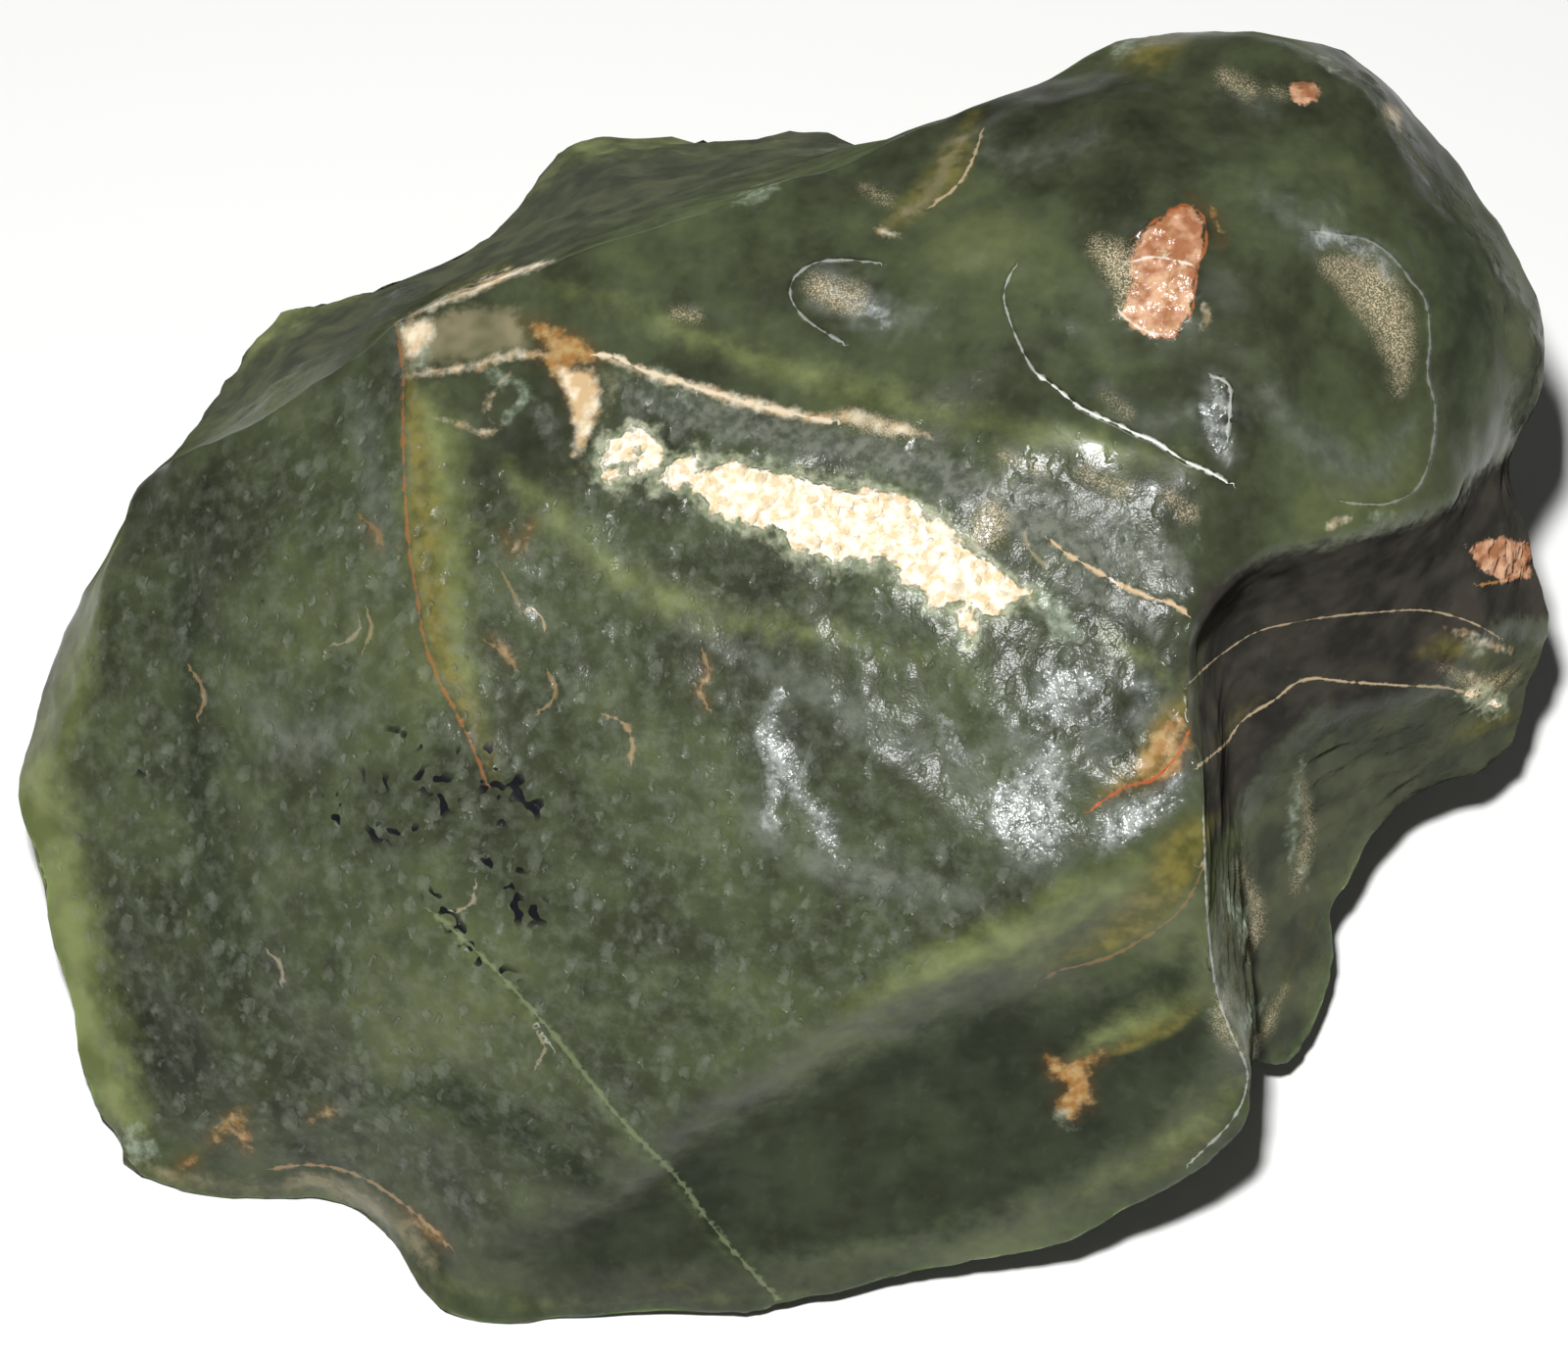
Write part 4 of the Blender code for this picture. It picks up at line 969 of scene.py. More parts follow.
MARKS[Mark.FROST] = [
    Stroke([(30, 12.7, 1.8), (32.8, 9.9, 2.4), (35.6, 6.9, 2.8), (38.5, 5.2, 1.6)]),
    Stroke([(19.4, 8.2, 1.2), (22.2, 5.8, 1.4), (25, 4.6, 1)]),
    Stroke([(-20, 40.2, 1.2), (-13.8, 37.4, 1.4), (-12.5, 33.9, 0.8)]),
    Stroke([(-6, 60.8, 1), (-3.5, 61.4, 1.4), (-1, 62.1, 0.8)]),
    Stroke([(41.9, 78.9, 1.2), (43.8, 80.8, 1.6), (46.2, 81.2, 1.4)]),
    Stroke([(-48.1, 43.9, 1.2), (-46.2, 42.1, 1.6), (-46.5, 39.9, 1.2)]),
    Stroke([(73.5, 20.2, 0.8), (75.5, 20.9, 1.1), (77.5, 21.2, 0.7)]),
    Stroke([(35.8, -56.1, 1.5), (36.2, -56.8, 1.5)]),
    Stroke([(54.5, -42.6, 0.9), (55.2, -44.2, 0.9)]),
    Stroke([(-84.2, -58.6, 2.2), (-82.2, -60.1, 2.4)]),
    Stroke([(69, 79.2, 0.9), (70.5, 77.4, 1)]),
    Stroke([(87.5, 3.7, 1), (89, 2.9, 1.1)]),
    Stroke([(66.2, -9.8, 0.8), (65.2, -18.6, 1.4), (66.2, -26.1, 0.8)]),
    Stroke([(55.6, -24.8, 0.8), (57.8, -29.8, 1.6), (59.4, -33.6, 1)]),
    Stroke([(57.2, -46.3, 0.8), (59, -43.6, 1.4), (61.2, -40.6, 0.8)]),
    Stroke([(-37.5, 38.9, 1.2), (-33.1, 36.4, 1.2), (-35.6, 33.3, 1)]),
]
MARKS[Mark.CREAM] = [
    Stroke([(-23.5, 41.2, 0.5), (-18.1, 39.2, 1), (-11, 36.9, 1.1), (-3.6, 34.8, 1.2), (3.2, 33.2, 1.1),
            (6.2, 32.7, 0.8)]),
    Patch([(-29.8, 39.9), (-24.2, 39.9), (-22.9, 37.4), (-22.6, 34.4), (-24.5, 29.9), (-26, 26.7),
           (-27.5, 28.2), (-27.2, 31.4), (-28, 35.4)]),
    Stroke([(-48.5, 38.3, 0.6), (-44.2, 38.8, 0.9), (-39.6, 39.8, 1), (-35, 41.1, 1), (-30.5, 41.2, 0.7)]),
    Stroke([(-45, 33.4, 0.3), (-41.5, 32.3, 0.7), (-38, 31.2, 0.8), (-35.8, 32.7, 0.3)]),
    Stroke([(-35, 38.9, 0.3), (-38, 35.2, 0.6), (-37.6, 31.4, 0.3)]),
    Stroke([(5.6, 33.4, 0.6), (8.5, 33.2, 1.4), (11.2, 32.4, 1.3), (14.4, 31.7, 1.2), (17.5, 31.2, 0.8),
            (19.1, 30.4, 0.3)]),
    Stroke([(-49, 45.1, 0.5), (-45, 47.2, 0.8), (-40.1, 49.3, 1), (-35.9, 51.1, 1.1), (-31.9, 52.2, 0.9),
            (-29, 53.2, 0.3)]),
    Patch([(-49.2, 44.7), (-45.5, 46.4), (-43.8, 45.2), (-44.2, 42.7), (-45.8, 40.7), (-48.5, 39.7)]),
    Stroke([(53.8, 47.7, 0.9), (54.2, 46.4, 1), (53.2, 44.9, 0.5)]),
    Stroke([(76.5, 72.9, 0.6), (77.8, 71.7, 1.1), (78.5, 70.2, 0.8)]),
    Stroke([(11.5, 57.9, 0.4), (13.1, 56.7, 0.8), (15.2, 56.4, 0.4)]),
    Stroke([(68.8, 18.9, 0.5), (70.2, 19.7, 0.9), (72, 20.4, 0.8)]),
    Stroke([(84.5, 6.4, 0.4), (87.8, 5.2, 1), (92.5, 3.4, 0.8)]),
    Stroke([(87.5, 0.2, 0.8), (90, -1.1, 0.8)]),
]
MARKS[Mark.CRUST] = [
    Stroke([(-10.5, 24.9, 2.2), (-6.2, 23.9, 4.2), (0, 22.2, 4.2), (6.2, 19.7, 5.6), (12.5, 19.2, 5),
            (17, 16.9, 4.4), (21, 13.4, 4.6), (25.4, 11.4, 3.8), (28.8, 10.7, 2.6), (31, 10.7, 1.2)]),
    Stroke([(23, 8.9, 2), (24, 6.2, 1.3)]),
    Stroke([(-22.5, 27.7, 1.2), (-20.5, 28.9, 2), (-19, 30.4, 1.8), (-17, 29.4, 1.4), (-16.5, 27.4, 1.2)]),
    Stroke([(-21.8, 25.7, 1.2), (-20, 25.9, 1.6), (-18.1, 26.9, 1.2)]),
    Stroke([(-16, 24.9, 1), (-13.8, 25.7, 2), (-11.8, 27.4, 1.9), (-10.8, 28.4, 1.2)]),
    Stroke([(88.1, -2.6, 0.6), (91.2, -3.6, 0.8)]),
]
MARKS[Mark.INCLUSION] = [
    Patch([(50.6, 60.4), (52.2, 60.1), (53.5, 58.9), (53.9, 55.4), (52.8, 52.2), (52.1, 46.8), (49.9, 43.9),
           (47.4, 43.7), (44.4, 44.9), (42.6, 46.7), (43.2, 49.2), (44, 50.9), (43.8, 53.7), (45, 56.4),
           (47, 58.2)]),
    Patch([(87.2, 16.9), (91.2, 18.1), (95.2, 17.4), (96, 12.7), (91.8, 11.8), (88.8, 13.7)]),
    Patch([(64.1, 73.9), (64.8, 75.8), (66.5, 76.4), (68.4, 75.9), (68.6, 74.2), (67.2, 72.7),
           (65.2, 72.9)]),
]
MARKS[Mark.GRAIN] = [
    Stroke([(27.8, 28.2, 1.1), (33.1, 26.4, 1.2)]),
    Stroke([(38.2, 26.2, 1.6), (43.1, 23.9, 1.8)]),
    Stroke([(48.8, 23.4, 1.4), (51.5, 20.9, 1.8)]),
    Stroke([(26.5, 20.4, 3), (25.8, 18.3, 2.8)]),
    Stroke([(4.4, 50.2, 2.4), (8.2, 48.9, 3)]),
    Stroke([(40, 55.2, 2), (42.5, 53.4, 3.2), (43.8, 50.2, 2.6), (43.2, 47.4, 1.4)]),
    Stroke([(69.5, 52.9, 1.8), (73.1, 51.7, 3.2), (76.2, 48.9, 3.6), (78.2, 45.2, 3.2), (79.2, 40.2, 2),
            (79, 36.4, 1)]),
    Stroke([(62, 74.6, 1), (63.8, 74.2, 1)]),
    Stroke([(10, 62.7, 1), (13.1, 60.8, 1.4)]),
    Stroke([(-13.8, 46.4, 1.4), (-11.2, 46.2, 1.2)]),
    Stroke([(41, 36.4, 1), (43.8, 33.9, 1.2)]),
    Stroke([(8.8, 32.9, 1.6), (12.5, 31.9, 1.6), (16.2, 31.2, 1.4)]),
    Stroke([(56.2, 76.4, 1.6), (59.4, 74.9, 1.6)]),
    Stroke([(56.2, -41.1, 1.4), (55.6, -44.2, 1.6), (57.2, -46.7, 1.2)]),
    Stroke([(57.8, -23.6, 0.8), (60.5, -29.8, 1.5), (59.5, -36.1, 1)]),
    Stroke([(65.8, -12.3, 0.6), (67.2, -19.8, 1.2), (65.2, -27.3, 0.8)]),
    Stroke([(83.8, 1.4, 1), (88.8, -1.1, 1.8), (93.1, 0.2, 1.2)]),
    Stroke([(58.5, -48.1, 1), (61.9, -43.6, 1.2), (63.8, -39.8, 0.8)]),
]
MARKS[Mark.SPECKS] = [
    Stroke([(-58, -15.1, 1.2), (-56.9, -17.9, 1.6)]),
    Stroke([(-53.5, -12.3, 1), (-51.2, -13.6, 1.4)]),
    Stroke([(-52.1, -19.8, 1.6), (-49.8, -19.8, 1.6), (-46.9, -20.1, 1.6)]),
    Stroke([(-46, -12.9, 1.8), (-42.8, -14.8, 2), (-45, -17.3, 1.6)]),
    Stroke([(-41.2, -9.8, 1.2), (-37.5, -13.6, 1.8), (-36, -17.3, 1.8)]),
    Stroke([(-37.5, -9.8, 1.6), (-31.9, -16.7, 1.6)]),
    Stroke([(-38.1, -23.6, 1.2), (-33.8, -24.2, 1.4)]),
    Stroke([(-35.2, -26.7, 1.6), (-33.8, -29.8, 1.8), (-30.6, -29.8, 1.8)]),
    Stroke([(-45, -27.9, 1.4), (-41.2, -32.9, 1.4), (-37.5, -36.7, 1.4), (-34.4, -38.3, 1)]),
    Stroke([(-82.5, -11.7, 0.9), (-80, -12.1, 0.9)]),
    Stroke([(-67, 9.7, 0.7), (-66.8, 9.6, 0.7)]),
    Stroke([(-50, -6.7, 0.8), (-46.2, -8.6, 1)]),
]
MARKS[Mark.PITTED] = [
    Patch([(-81, 24), (-59, 36.5), (-49.5, 43.5), (-44, 27.5), (-30, 25), (-24, 39), (6, 32.5), (40, 28.5),
           (52, 23.5), (50, -17.5), (25, -32.5), (-20, -60), (-40, -73.5), (-50, -65), (-82.5, -58.5),
           (-94, -26), (-91, 1.5)]),
]

# Runs that are both a step and the vein along it
FLAKE_EDGE: list[Point] = [
    (34.2, 17.4), (36.2, 15.7), (39.9, 13.6), (42.2, 12.2), (44.4, 11.2), (47.1, 10.1), (49.6, 9.4),
    (51.2, 8.3)]
PLATE_EDGE: list[Point] = [
    (39.2, -16.8), (41.2, -15.4), (44, -13.8), (46.9, -13.1), (49.6, -10.7), (50.8, -8.7), (51.4, -7.1)]

VEINS: list[Vein] = [
    Vein(0.16, 0.85, [(45, 56.4), (47, 58.1), (50.6, 60.2), (52.2, 59.9), (53.5, 58.7), (53.9, 55.4),
                      (52.8, 52.2), (52.1, 46.8)], 0.8),
    Vein(0.14, 0.2, [(44.1, 52.9), (46.9, 53.7), (50, 53.2), (52.8, 52.4)], 0.7),
    Vein(0.14, 0.6, [(48.8, 58.2), (49.6, 53.7), (48.8, 48.9), (49.6, 44.2)], 0.7),
    Vein(0.16, 0.25, [(42.8, 46.7), (44.5, 45.1), (47.4, 43.8), (49.8, 44.2)], 0.8),
    Vein(0.1, 0.36, [(51.8, -0.7), (53.9, 1.4), (56.8, 3.7), (60.5, 5.9), (66, 7.2), (70.8, 7.9),
                     (76.5, 8.4), (81.2, 8.6), (85.1, 7.9), (88.2, 6.8), (90.9, 5.3)], 0.62),
    Vein(0.15, 0.34, [(53, -11.2), (56.4, -8.4), (58, -5.9), (60.2, -4.3), (62.8, -2.7), (64.6, -1.1),
                      (66.6, -0.2), (69.1, -0.2), (72.4, -0.6), (77.1, -0.9), (80.6, -1.1), (84.5, -1.3),
                      (88.2, -2.4)], 0.68),
    Vein(0.2, 0.74, [(-49.4, 44.6), (-48.6, 38.9), (-48.6, 32.7), (-48.5, 26.4), (-48.2, 21.4),
                     (-47.8, 16.4), (-46.9, 10.9), (-46.2, 6.2), (-45.2, 2.6), (-43.8, -0.8), (-42.2, -3.7),
                     (-40.9, -6.3), (-39.4, -9.6), (-37.9, -13.6)], 0.6),
    Vein(0.3, 0.3, [(-23.5, 41.2), (-21.2, 40.8), (-18.1, 39.2), (-14.4, 38.2), (-11, 36.9), (-6.9, 35.7),
                    (-3.6, 34.8), (-0.6, 34.1), (3.2, 33.2), (6.2, 32.7)]),
    Vein(0.32, 0.0, [(-45, -29.8), (-40, -34.2), (-35, -39.2), (-30, -44.8), (-25, -51.1), (-20, -57.3),
                     (-13.8, -63.6), (-8.8, -70.4), (-3.8, -76.1), (-1.2, -78.8)], 0.42),
    Vein(0.26, 0.4, FLAKE_EDGE),
    Vein(0.18, 0.6, [(32.5, -38.9), (35.1, -37.4), (38, -36.7), (41.6, -35.6), (45, -33.8), (47.9, -31.9),
                     (50.5, -29.7), (52.2, -27.1), (53.2, -24.7)], 0.45),
    Vein(0.16, 0.95, PLATE_EDGE),
    Vein(0.2, 0.5, [(-65.2, -62.6), (-60.9, -62.2), (-57.1, -62.6), (-53.5, -63.9), (-49.9, -66.2),
                    (-46.1, -69.2), (-42.9, -72.4)], 0.6),
    Vein(0.25, 0.5, [(-75.5, 0.8), (-74.4, -0.8), (-73.9, -2.6), (-74.5, -4.7)], 0.4),
    Vein(0.25, 0.6, [(-53.6, 20.2), (-51.9, 18.7), (-51.1, 16.7)], 0.4),
    Vein(0.2, 0.4, [(-53.2, 8.4), (-52.6, 6.2), (-53.6, 3.8)], 0.3),
    Vein(0.2, 0.3, [(-57.1, 4.1), (-55.2, 4.9), (-54.2, 6.2)], 0.25),
    Vein(0.35, 0.5, [(-22.4, -4.9), (-20.5, -5.8), (-19.4, -7.9), (-19.5, -10.1)], 0.55),
    Vein(0.25, 0.5, [(-29.8, 0.2), (-29.1, -1.7), (-29.8, -3.3), (-30.9, -4.1)], 0.4),
    Vein(0.25, 0.55, [(-37.5, 4.3), (-35.6, 2.9), (-34.2, 1.2)], 0.4),
    Vein(0.22, 0.5, [(-10.2, 2.9), (-9.6, 0.2), (-10.8, -1.3), (-9.8, -3.6)], 0.4),
    Vein(0.2, 0.5, [(-36.2, 13.9), (-34.8, 11.4), (-33.8, 9.2)], 0.3),
    Vein(0.15, 0.4, [(-32.4, 8.9), (-31, 7.9), (-30.5, 6.4)], 0.5),
    Vein(0.2, 0.35, [(25.1, 69.1), (24.4, 66.9), (23.4, 64.7), (21.5, 62.2), (19, 60.4)], 0.7),
    Vein(0.2, 0.62, [(88.9, 11.8), (90.9, 12.2)]),
    Vein(0.25, 0.3, [(-31.5, -45.4), (-30.5, -47.3), (-31.4, -49.2)], 0.3),
    Vein(0.25, 0.3, [(-39.5, -26.7), (-39.8, -28.8), (-41.5, -29.8)], 0.35),
    Vein(0.22, 0.34, [(33.2, 14.4), (31.2, 16.4), (30.8, 18.3)], 0.25),
    Vein(0.25, 0.3, [(-65.4, -35.4), (-64.1, -36.7), (-63.9, -38.6)], 0.35),
    # Near-white veins with beads: painted highlights along the rims of the head's scallops and the keen right
    # edge
    Vein(0.16, 0.15, [(11.9, 52.9), (9, 53.2), (6.5, 53.3), (4, 52.9), (2.1, 51.8), (0.9, 50.3),
                      (0.8, 48.6), (1.8, 46.8), (3.2, 45.4), (5.4, 43.9), (7.2, 42.9)], 0.3, 0.2),
    Vein(0.12, 0.15, [(29.4, 52.4), (28.4, 50.4), (28, 48.6), (28.4, 46.8), (29.4, 43.9), (30.9, 40.7),
                      (32.2, 38.7)], 0.35, 0.16),
    Vein(0.2, 0.15, [(32.2, 38.7), (34.8, 36.9), (37.2, 34.9), (39.5, 33.6), (42.4, 32.4), (44.9, 31.1),
                     (47.5, 30.1), (49.6, 28.6), (51.8, 27.3), (54.2, 26.3), (56.6, 24.8)], 0.85, 0.26),
    Vein(0.2, 0.15, [(55.1, 38.4), (56.5, 37.6), (57, 36.2), (56.8, 33.3), (56.5, 30.7)], 0.4, 0.22),
    Vein(0.14, 0.15, [(67.8, 56.9), (71.2, 56.4), (74.1, 55.9), (76.2, 54.8), (78.4, 52.7), (80, 50.6),
                      (81.8, 48.1), (82.4, 43.4), (82.1, 38.8), (83, 34.9), (83, 31.9), (82.5, 28.4),
                      (80.8, 24.2), (77.5, 22.3), (74.1, 22.1), (71.2, 22.4)], 0.2, 0.16),
    Vein(0.14, 0.15, [(53.5, -17.3), (53.6, -21.1), (54, -29.8), (54.9, -38.6), (56.8, -44.8),
                      (58.8, -49.2), (59, -52.3), (57, -56.7), (52, -61.7)], 0.36, 0.06),
    Vein(0.24, 0.0, [(-49, 46.2), (-43.8, 48.3), (-37.5, 50.3), (-31.9, 52.1), (-26.2, 54.9), (-20, 57.1),
                     (-12.5, 59.2), (-5, 61.4), (2.5, 64.2), (8.8, 66.4), (15, 68.9)], 0.0, 0.10),
]

SCALLOPS = [
    Scallop(7.7, 48.3, 7.4, 4.8, 8, 1.0, 1.0),
    Scallop(45, 44, 19, 14, -28, 1.9, 1.1),
    Scallop(73, 39, 9.5, 17, 6, 1.7, 1.1),
    Scallop(54.6, 31.5, 2.8, 6.6, 12, 0.7, 1.0),
    Scallop(1.6, -8.6, 4.5, 9, -14, 0.8),
    Scallop(6.5, -19.8, 3.6, 5.5, -20, 0.7),
    Scallop(-19.4, 4.6, 1.3, 6.0, 12, 0.35),
    Scallop(36, -2, 6, 4.5, 25, 0.5, 2.0),
    Scallop(45, -3.5, 3.2, 4.2, 10, 0.4, 2.0),
    Scallop(31, -14, 7, 9, 30, 0.6, 2.0),
    Scallop(46, -16.5, 6.5, 4.0, 35, 0.7, 1.4),
    Scallop(-53, 28, 2.5, 5, 10, 0.5),
    Scallop(8, 25.5, 10, 3, -16, 0.5),
    Scallop(26.5, 19.5, 3.4, 4.6, -10, 0.4, 2.0),
    Scallop(-4, 60.5, 4, 2.2, 20, 0.4),
    Scallop(30, 66, 6, 4, 30, 0.5),
    Scallop(62, 68, 6, 4, -30, 0.5),
    Scallop(25, 52, 5, 4, 10, 0.4),
    Scallop(19, 46, 2.6, 2.0, 10, 0.3),
    Scallop(-70, -20, 12, 16, 20, 0.6),
    Scallop(-60, -48, 10, 8, 10, 0.5),
    Scallop(-12, 46, 8, 2.2, -18, 0.4),
]

STEPS = [
    Step(0.9, 9.0, [(-1.2, -79.2), (-3.8, -76.1), (-8.8, -70.4), (-13.8, -63.6), (-20, -57.3), (-25, -51.1),
                    (-30, -44.8), (-35, -39.2), (-40, -34.2), (-45, -29.8)]),
    Step(1.3, 10.0, [(-49.4, 44.6), (-48.6, 38.9), (-48.5, 32.7), (-48.5, 26.4), (-48.2, 21.4),
                     (-47.8, 16.4), (-46.9, 10.9), (-46.2, 6.2), (-45.2, 2.6), (-43.8, -0.8), (-42.2, -3.7),
                     (-40.9, -6.3), (-39.4, -9.6), (-37.9, -13.6)]),
    Step(1.0, 7.0, [(32.5, -39.1), (35.1, -37.6), (38, -36.8), (41.6, -35.7), (45, -33.9), (47.9, -32.1),
                    (50.5, -29.8), (52.2, -27.3), (53.2, -24.7)]),
    Step(0.6, 6.0, FLAKE_EDGE[::-1]),
    Step(0.5, 4.0, PLATE_EDGE),
    Step(0.5, 3.0, [(11.9, 56.9), (14.4, 57.4), (17.5, 58.7), (19.6, 60.8), (21.9, 63.3), (23.8, 67.7),
                    (25.1, 70.2)]),
    Step(0.4, 5.0, [(-30, 41.7), (-33.8, 41.4), (-37.5, 40.4), (-41.2, 39.3), (-45, 38.6), (-48.4, 38.2)]),
]


@dataclass
class Relief:
    """What breakage, rolling and weathering leave on the worn form."""

    face: WornFace
    pits: Dimples = Dimples(2.6, 1.2, 0.8, 75, 40, 0.13, 0.8, 5)
    broad_pits: Dimples = Dimples(7.5, 2.3, 1.5, 74, 35, 0.2, 0.5, 6)
    hammering: Dimples = Dimples(3.4, 2.3, 1.6, 60, 60, 0.09, 0.95, 7)
    swell: Ripples = Ripples(17.0, 11)
    waviness: Ripples = Ripples(6.0, 12)
    lumps: Ripples = Ripples(2.4, 13)
    striae: Ripples = Ripples(2.6, 14, stretch=(7.0, 7.0, 1.0))
    break_rough: Ripples = Ripples(7.0, 15, stretch=(2.2, 1.0, 1.0))
    swell_height: float = 0.22
    wave_height: float = 0.07
    lump_height: float = 0.32
    crust_rise: float = 0.25
    crystal_rise: float = 0.35
    crystal_height: float = 0.5
    striae_height: float = 0.025
    break_height: float = 0.3
    break_rise: float = 0.4

    def lift(self, points: Array, normals: Array, covers: dict[Mark, Array]) -> Array:
        """How far each point moves out along its normal.

        Args:
            points: The worn form's vertices over the ground.
            normals: Their outward directions.
            covers: The cover of each marking at each vertex.

        Returns:
            One height a vertex, in millimetres.
        """
        seen = self.face.seen(points)
        front = ramp(self.face.facing(normals), 0.05, 0.4)
        height = sum(step.heights(seen) for step in STEPS)
        height -= sum(scallop.depths(seen) for scallop in SCALLOPS)
        pitted = ramp(covers[Mark.PITTED], 0.0, 5.0)
        height -= pitted * np.maximum(self.pits.depths(seen), self.broad_pits.depths(seen))
        height -= ramp(covers[Mark.BRUISED_AND_GLARE], -2.0, 2.0) * self.hammering.depths(seen)
        crust = ramp(covers[Mark.CRUST], -0.8, 2.0)
        height += crust * (self.crust_rise + self.lump_height * self.lumps.at(points))
        inclusion = ramp(covers[Mark.INCLUSION], -0.3, 0.6)
        height += inclusion * (self.crystal_rise - self.crystal_height * np.abs(self.lumps.at(points)))
        height *= front
        height += ramp(covers[Mark.WALL], 0.0, 2.0) * self.striae_height * self.striae.at(points)
        rough = ramp(covers[Mark.ROUGH], 0.0, 4.0)
        height += rough * self.break_height * (self.break_rise - np.abs(self.break_rough.at(points)))
        height += self.swell_height * self.swell.at(points) + self.wave_height * self.waviness.at(points)
        return height


@dataclass
class Boulder:
    """The whole stone: its form, its relief, its markings and its finish."""

    form: StoneForm = field(default_factory=StoneForm)
    name: str = "jade_boulder"
    reach: float = 8.0
    vein_reach: float = 4.0
    stain: Ripples = Ripples(46.0, 21)
    points: Array = field(init=False)

    def covers(self, points: Array, normals: Array) -> dict[Mark, Array]:
        """How far each vertex is inside each marking.

        The worn face's markings end where the surface turns away from it, and the rough break takes over.

        Args:
            points: Vertices over the ground.
            normals: Their outward directions.

        Returns:
            Millimetres inside, one array for each marking.
        """
        seen = self.form.face.seen(points)
        hidden = 1 - ramp(self.form.face.facing(normals), -0.15, 0.1)
        covers = {}
        for mark, shapes in MARKS.items():
            cover = np.maximum.reduce([shape.cover(seen, self.reach) for shape in shapes])
            covers[mark] = cover - hidden * (cover + self.reach)
        covers[Mark.ROUGH] = np.maximum(covers[Mark.ROUGH], self.reach * (2 * hidden - 1))
        covers[Mark.STEEP] = self.reach * (1 - 2 * ramp(self.form.face.facing(normals), 0.1, 0.4))
        keen = self.form.resistance(points)
        # Painted glow on the keen edges that turn away from the worn face
        covers[Mark.PAINTED_GLOW] = np.maximum(covers[Mark.PAINTED_GLOW], hidden * (6 * keen - 3) - (1 - hidden) * self.reach)
        stained = hidden * 4 * (np.abs(self.stain.at(points)) - 1.7) - (1 - hidden) * self.reach
        covers[Mark.OCHRE] = np.maximum(covers[Mark.OCHRE], np.clip(stained, -self.reach, self.reach))
        return covers

    def vein_values(self, points: Array, normals: Array) -> dict[str, Array]:
        """Where each vertex lies against the vein nearest to it.

        Args:
            points: Vertices over the ground.
            normals: Their outward directions.

        Returns:
            The signed distance across the vein, the plain distance to it, and its half width, tint,
            strength and bead.
        """
        seen = self.form.face.seen(points)
        facing = self.form.face.facing(normals) > -0.1
        values = {name: np.zeros(len(points)) for name in
                  ("vein_offset", "vein_gap", "vein_width", "vein_tint", "vein_strength", "vein_bead")}
        values["vein_offset"] += self.vein_reach
        values["vein_gap"] += self.vein_reach
        for vein in VEINS:
            run = smooth_run(vein.points, 1.0)
            near = close_by(seen, run, self.vein_reach)
            near = near[facing[near]]
            gap, span, _ = span_gaps(seen[near], run)
            closer = gap < values["vein_gap"][near]
            near, gap, span = near[closer], gap[closer], span[closer]
            way, offset = np.diff(run, axis=0)[span], seen[near] - run[span]
            side = np.sign(leftward(way, offset))
            found = (side * gap, gap, vein.half_width, vein.tint, vein.strength, vein.bead)
            for name, value in zip(values, found):
                values[name][near] = value
        return values

    def build(self) -> bpy.types.Object:
        """Builds the stone as one closed mesh that carries its markings as attributes.

        Returns:
            The object, which stands at the origin.
        """
        grid, points = self.form.build()
        LOG.info("worn form: %d vertices", grid.count)
        normals = grid.normals(points)
        covers = self.covers(points, normals)
        points = points + Relief(self.form.face).lift(points, normals, covers)[:, None] * normals
        points[:, 2] = np.maximum(points[:, 2], 0.0)
        triangles = grid.triangles(points, np.array(self.form.heart))
        mesh = bpy.data.meshes.new(self.name)
        mesh.from_pydata(points * MM, [], triangles)
        mesh.shade_smooth()
        values = {mark.value: cover for mark, cover in covers.items()}
        values.update(self.vein_values(points, normals))
        for name, value in values.items():
            layer = mesh.attributes.new(name, "FLOAT", "POINT")
            layer.data.foreach_set("value", value.astype(np.float32))
        self.points = points
        stone = bpy.data.objects.new(self.name, mesh)
        bpy.context.scene.collection.objects.link(stone)
        LOG.info("relief and %d markings: %d triangles", len(values), len(triangles))
        return stone

    def dress(self, stone: bpy.types.Object) -> None:
        """Gives the stone its finish and puts it in its node's place."""
        stone.data.materials.append(RiverWornNephrite().material())
        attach(stone, "root")
        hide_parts("boulder")


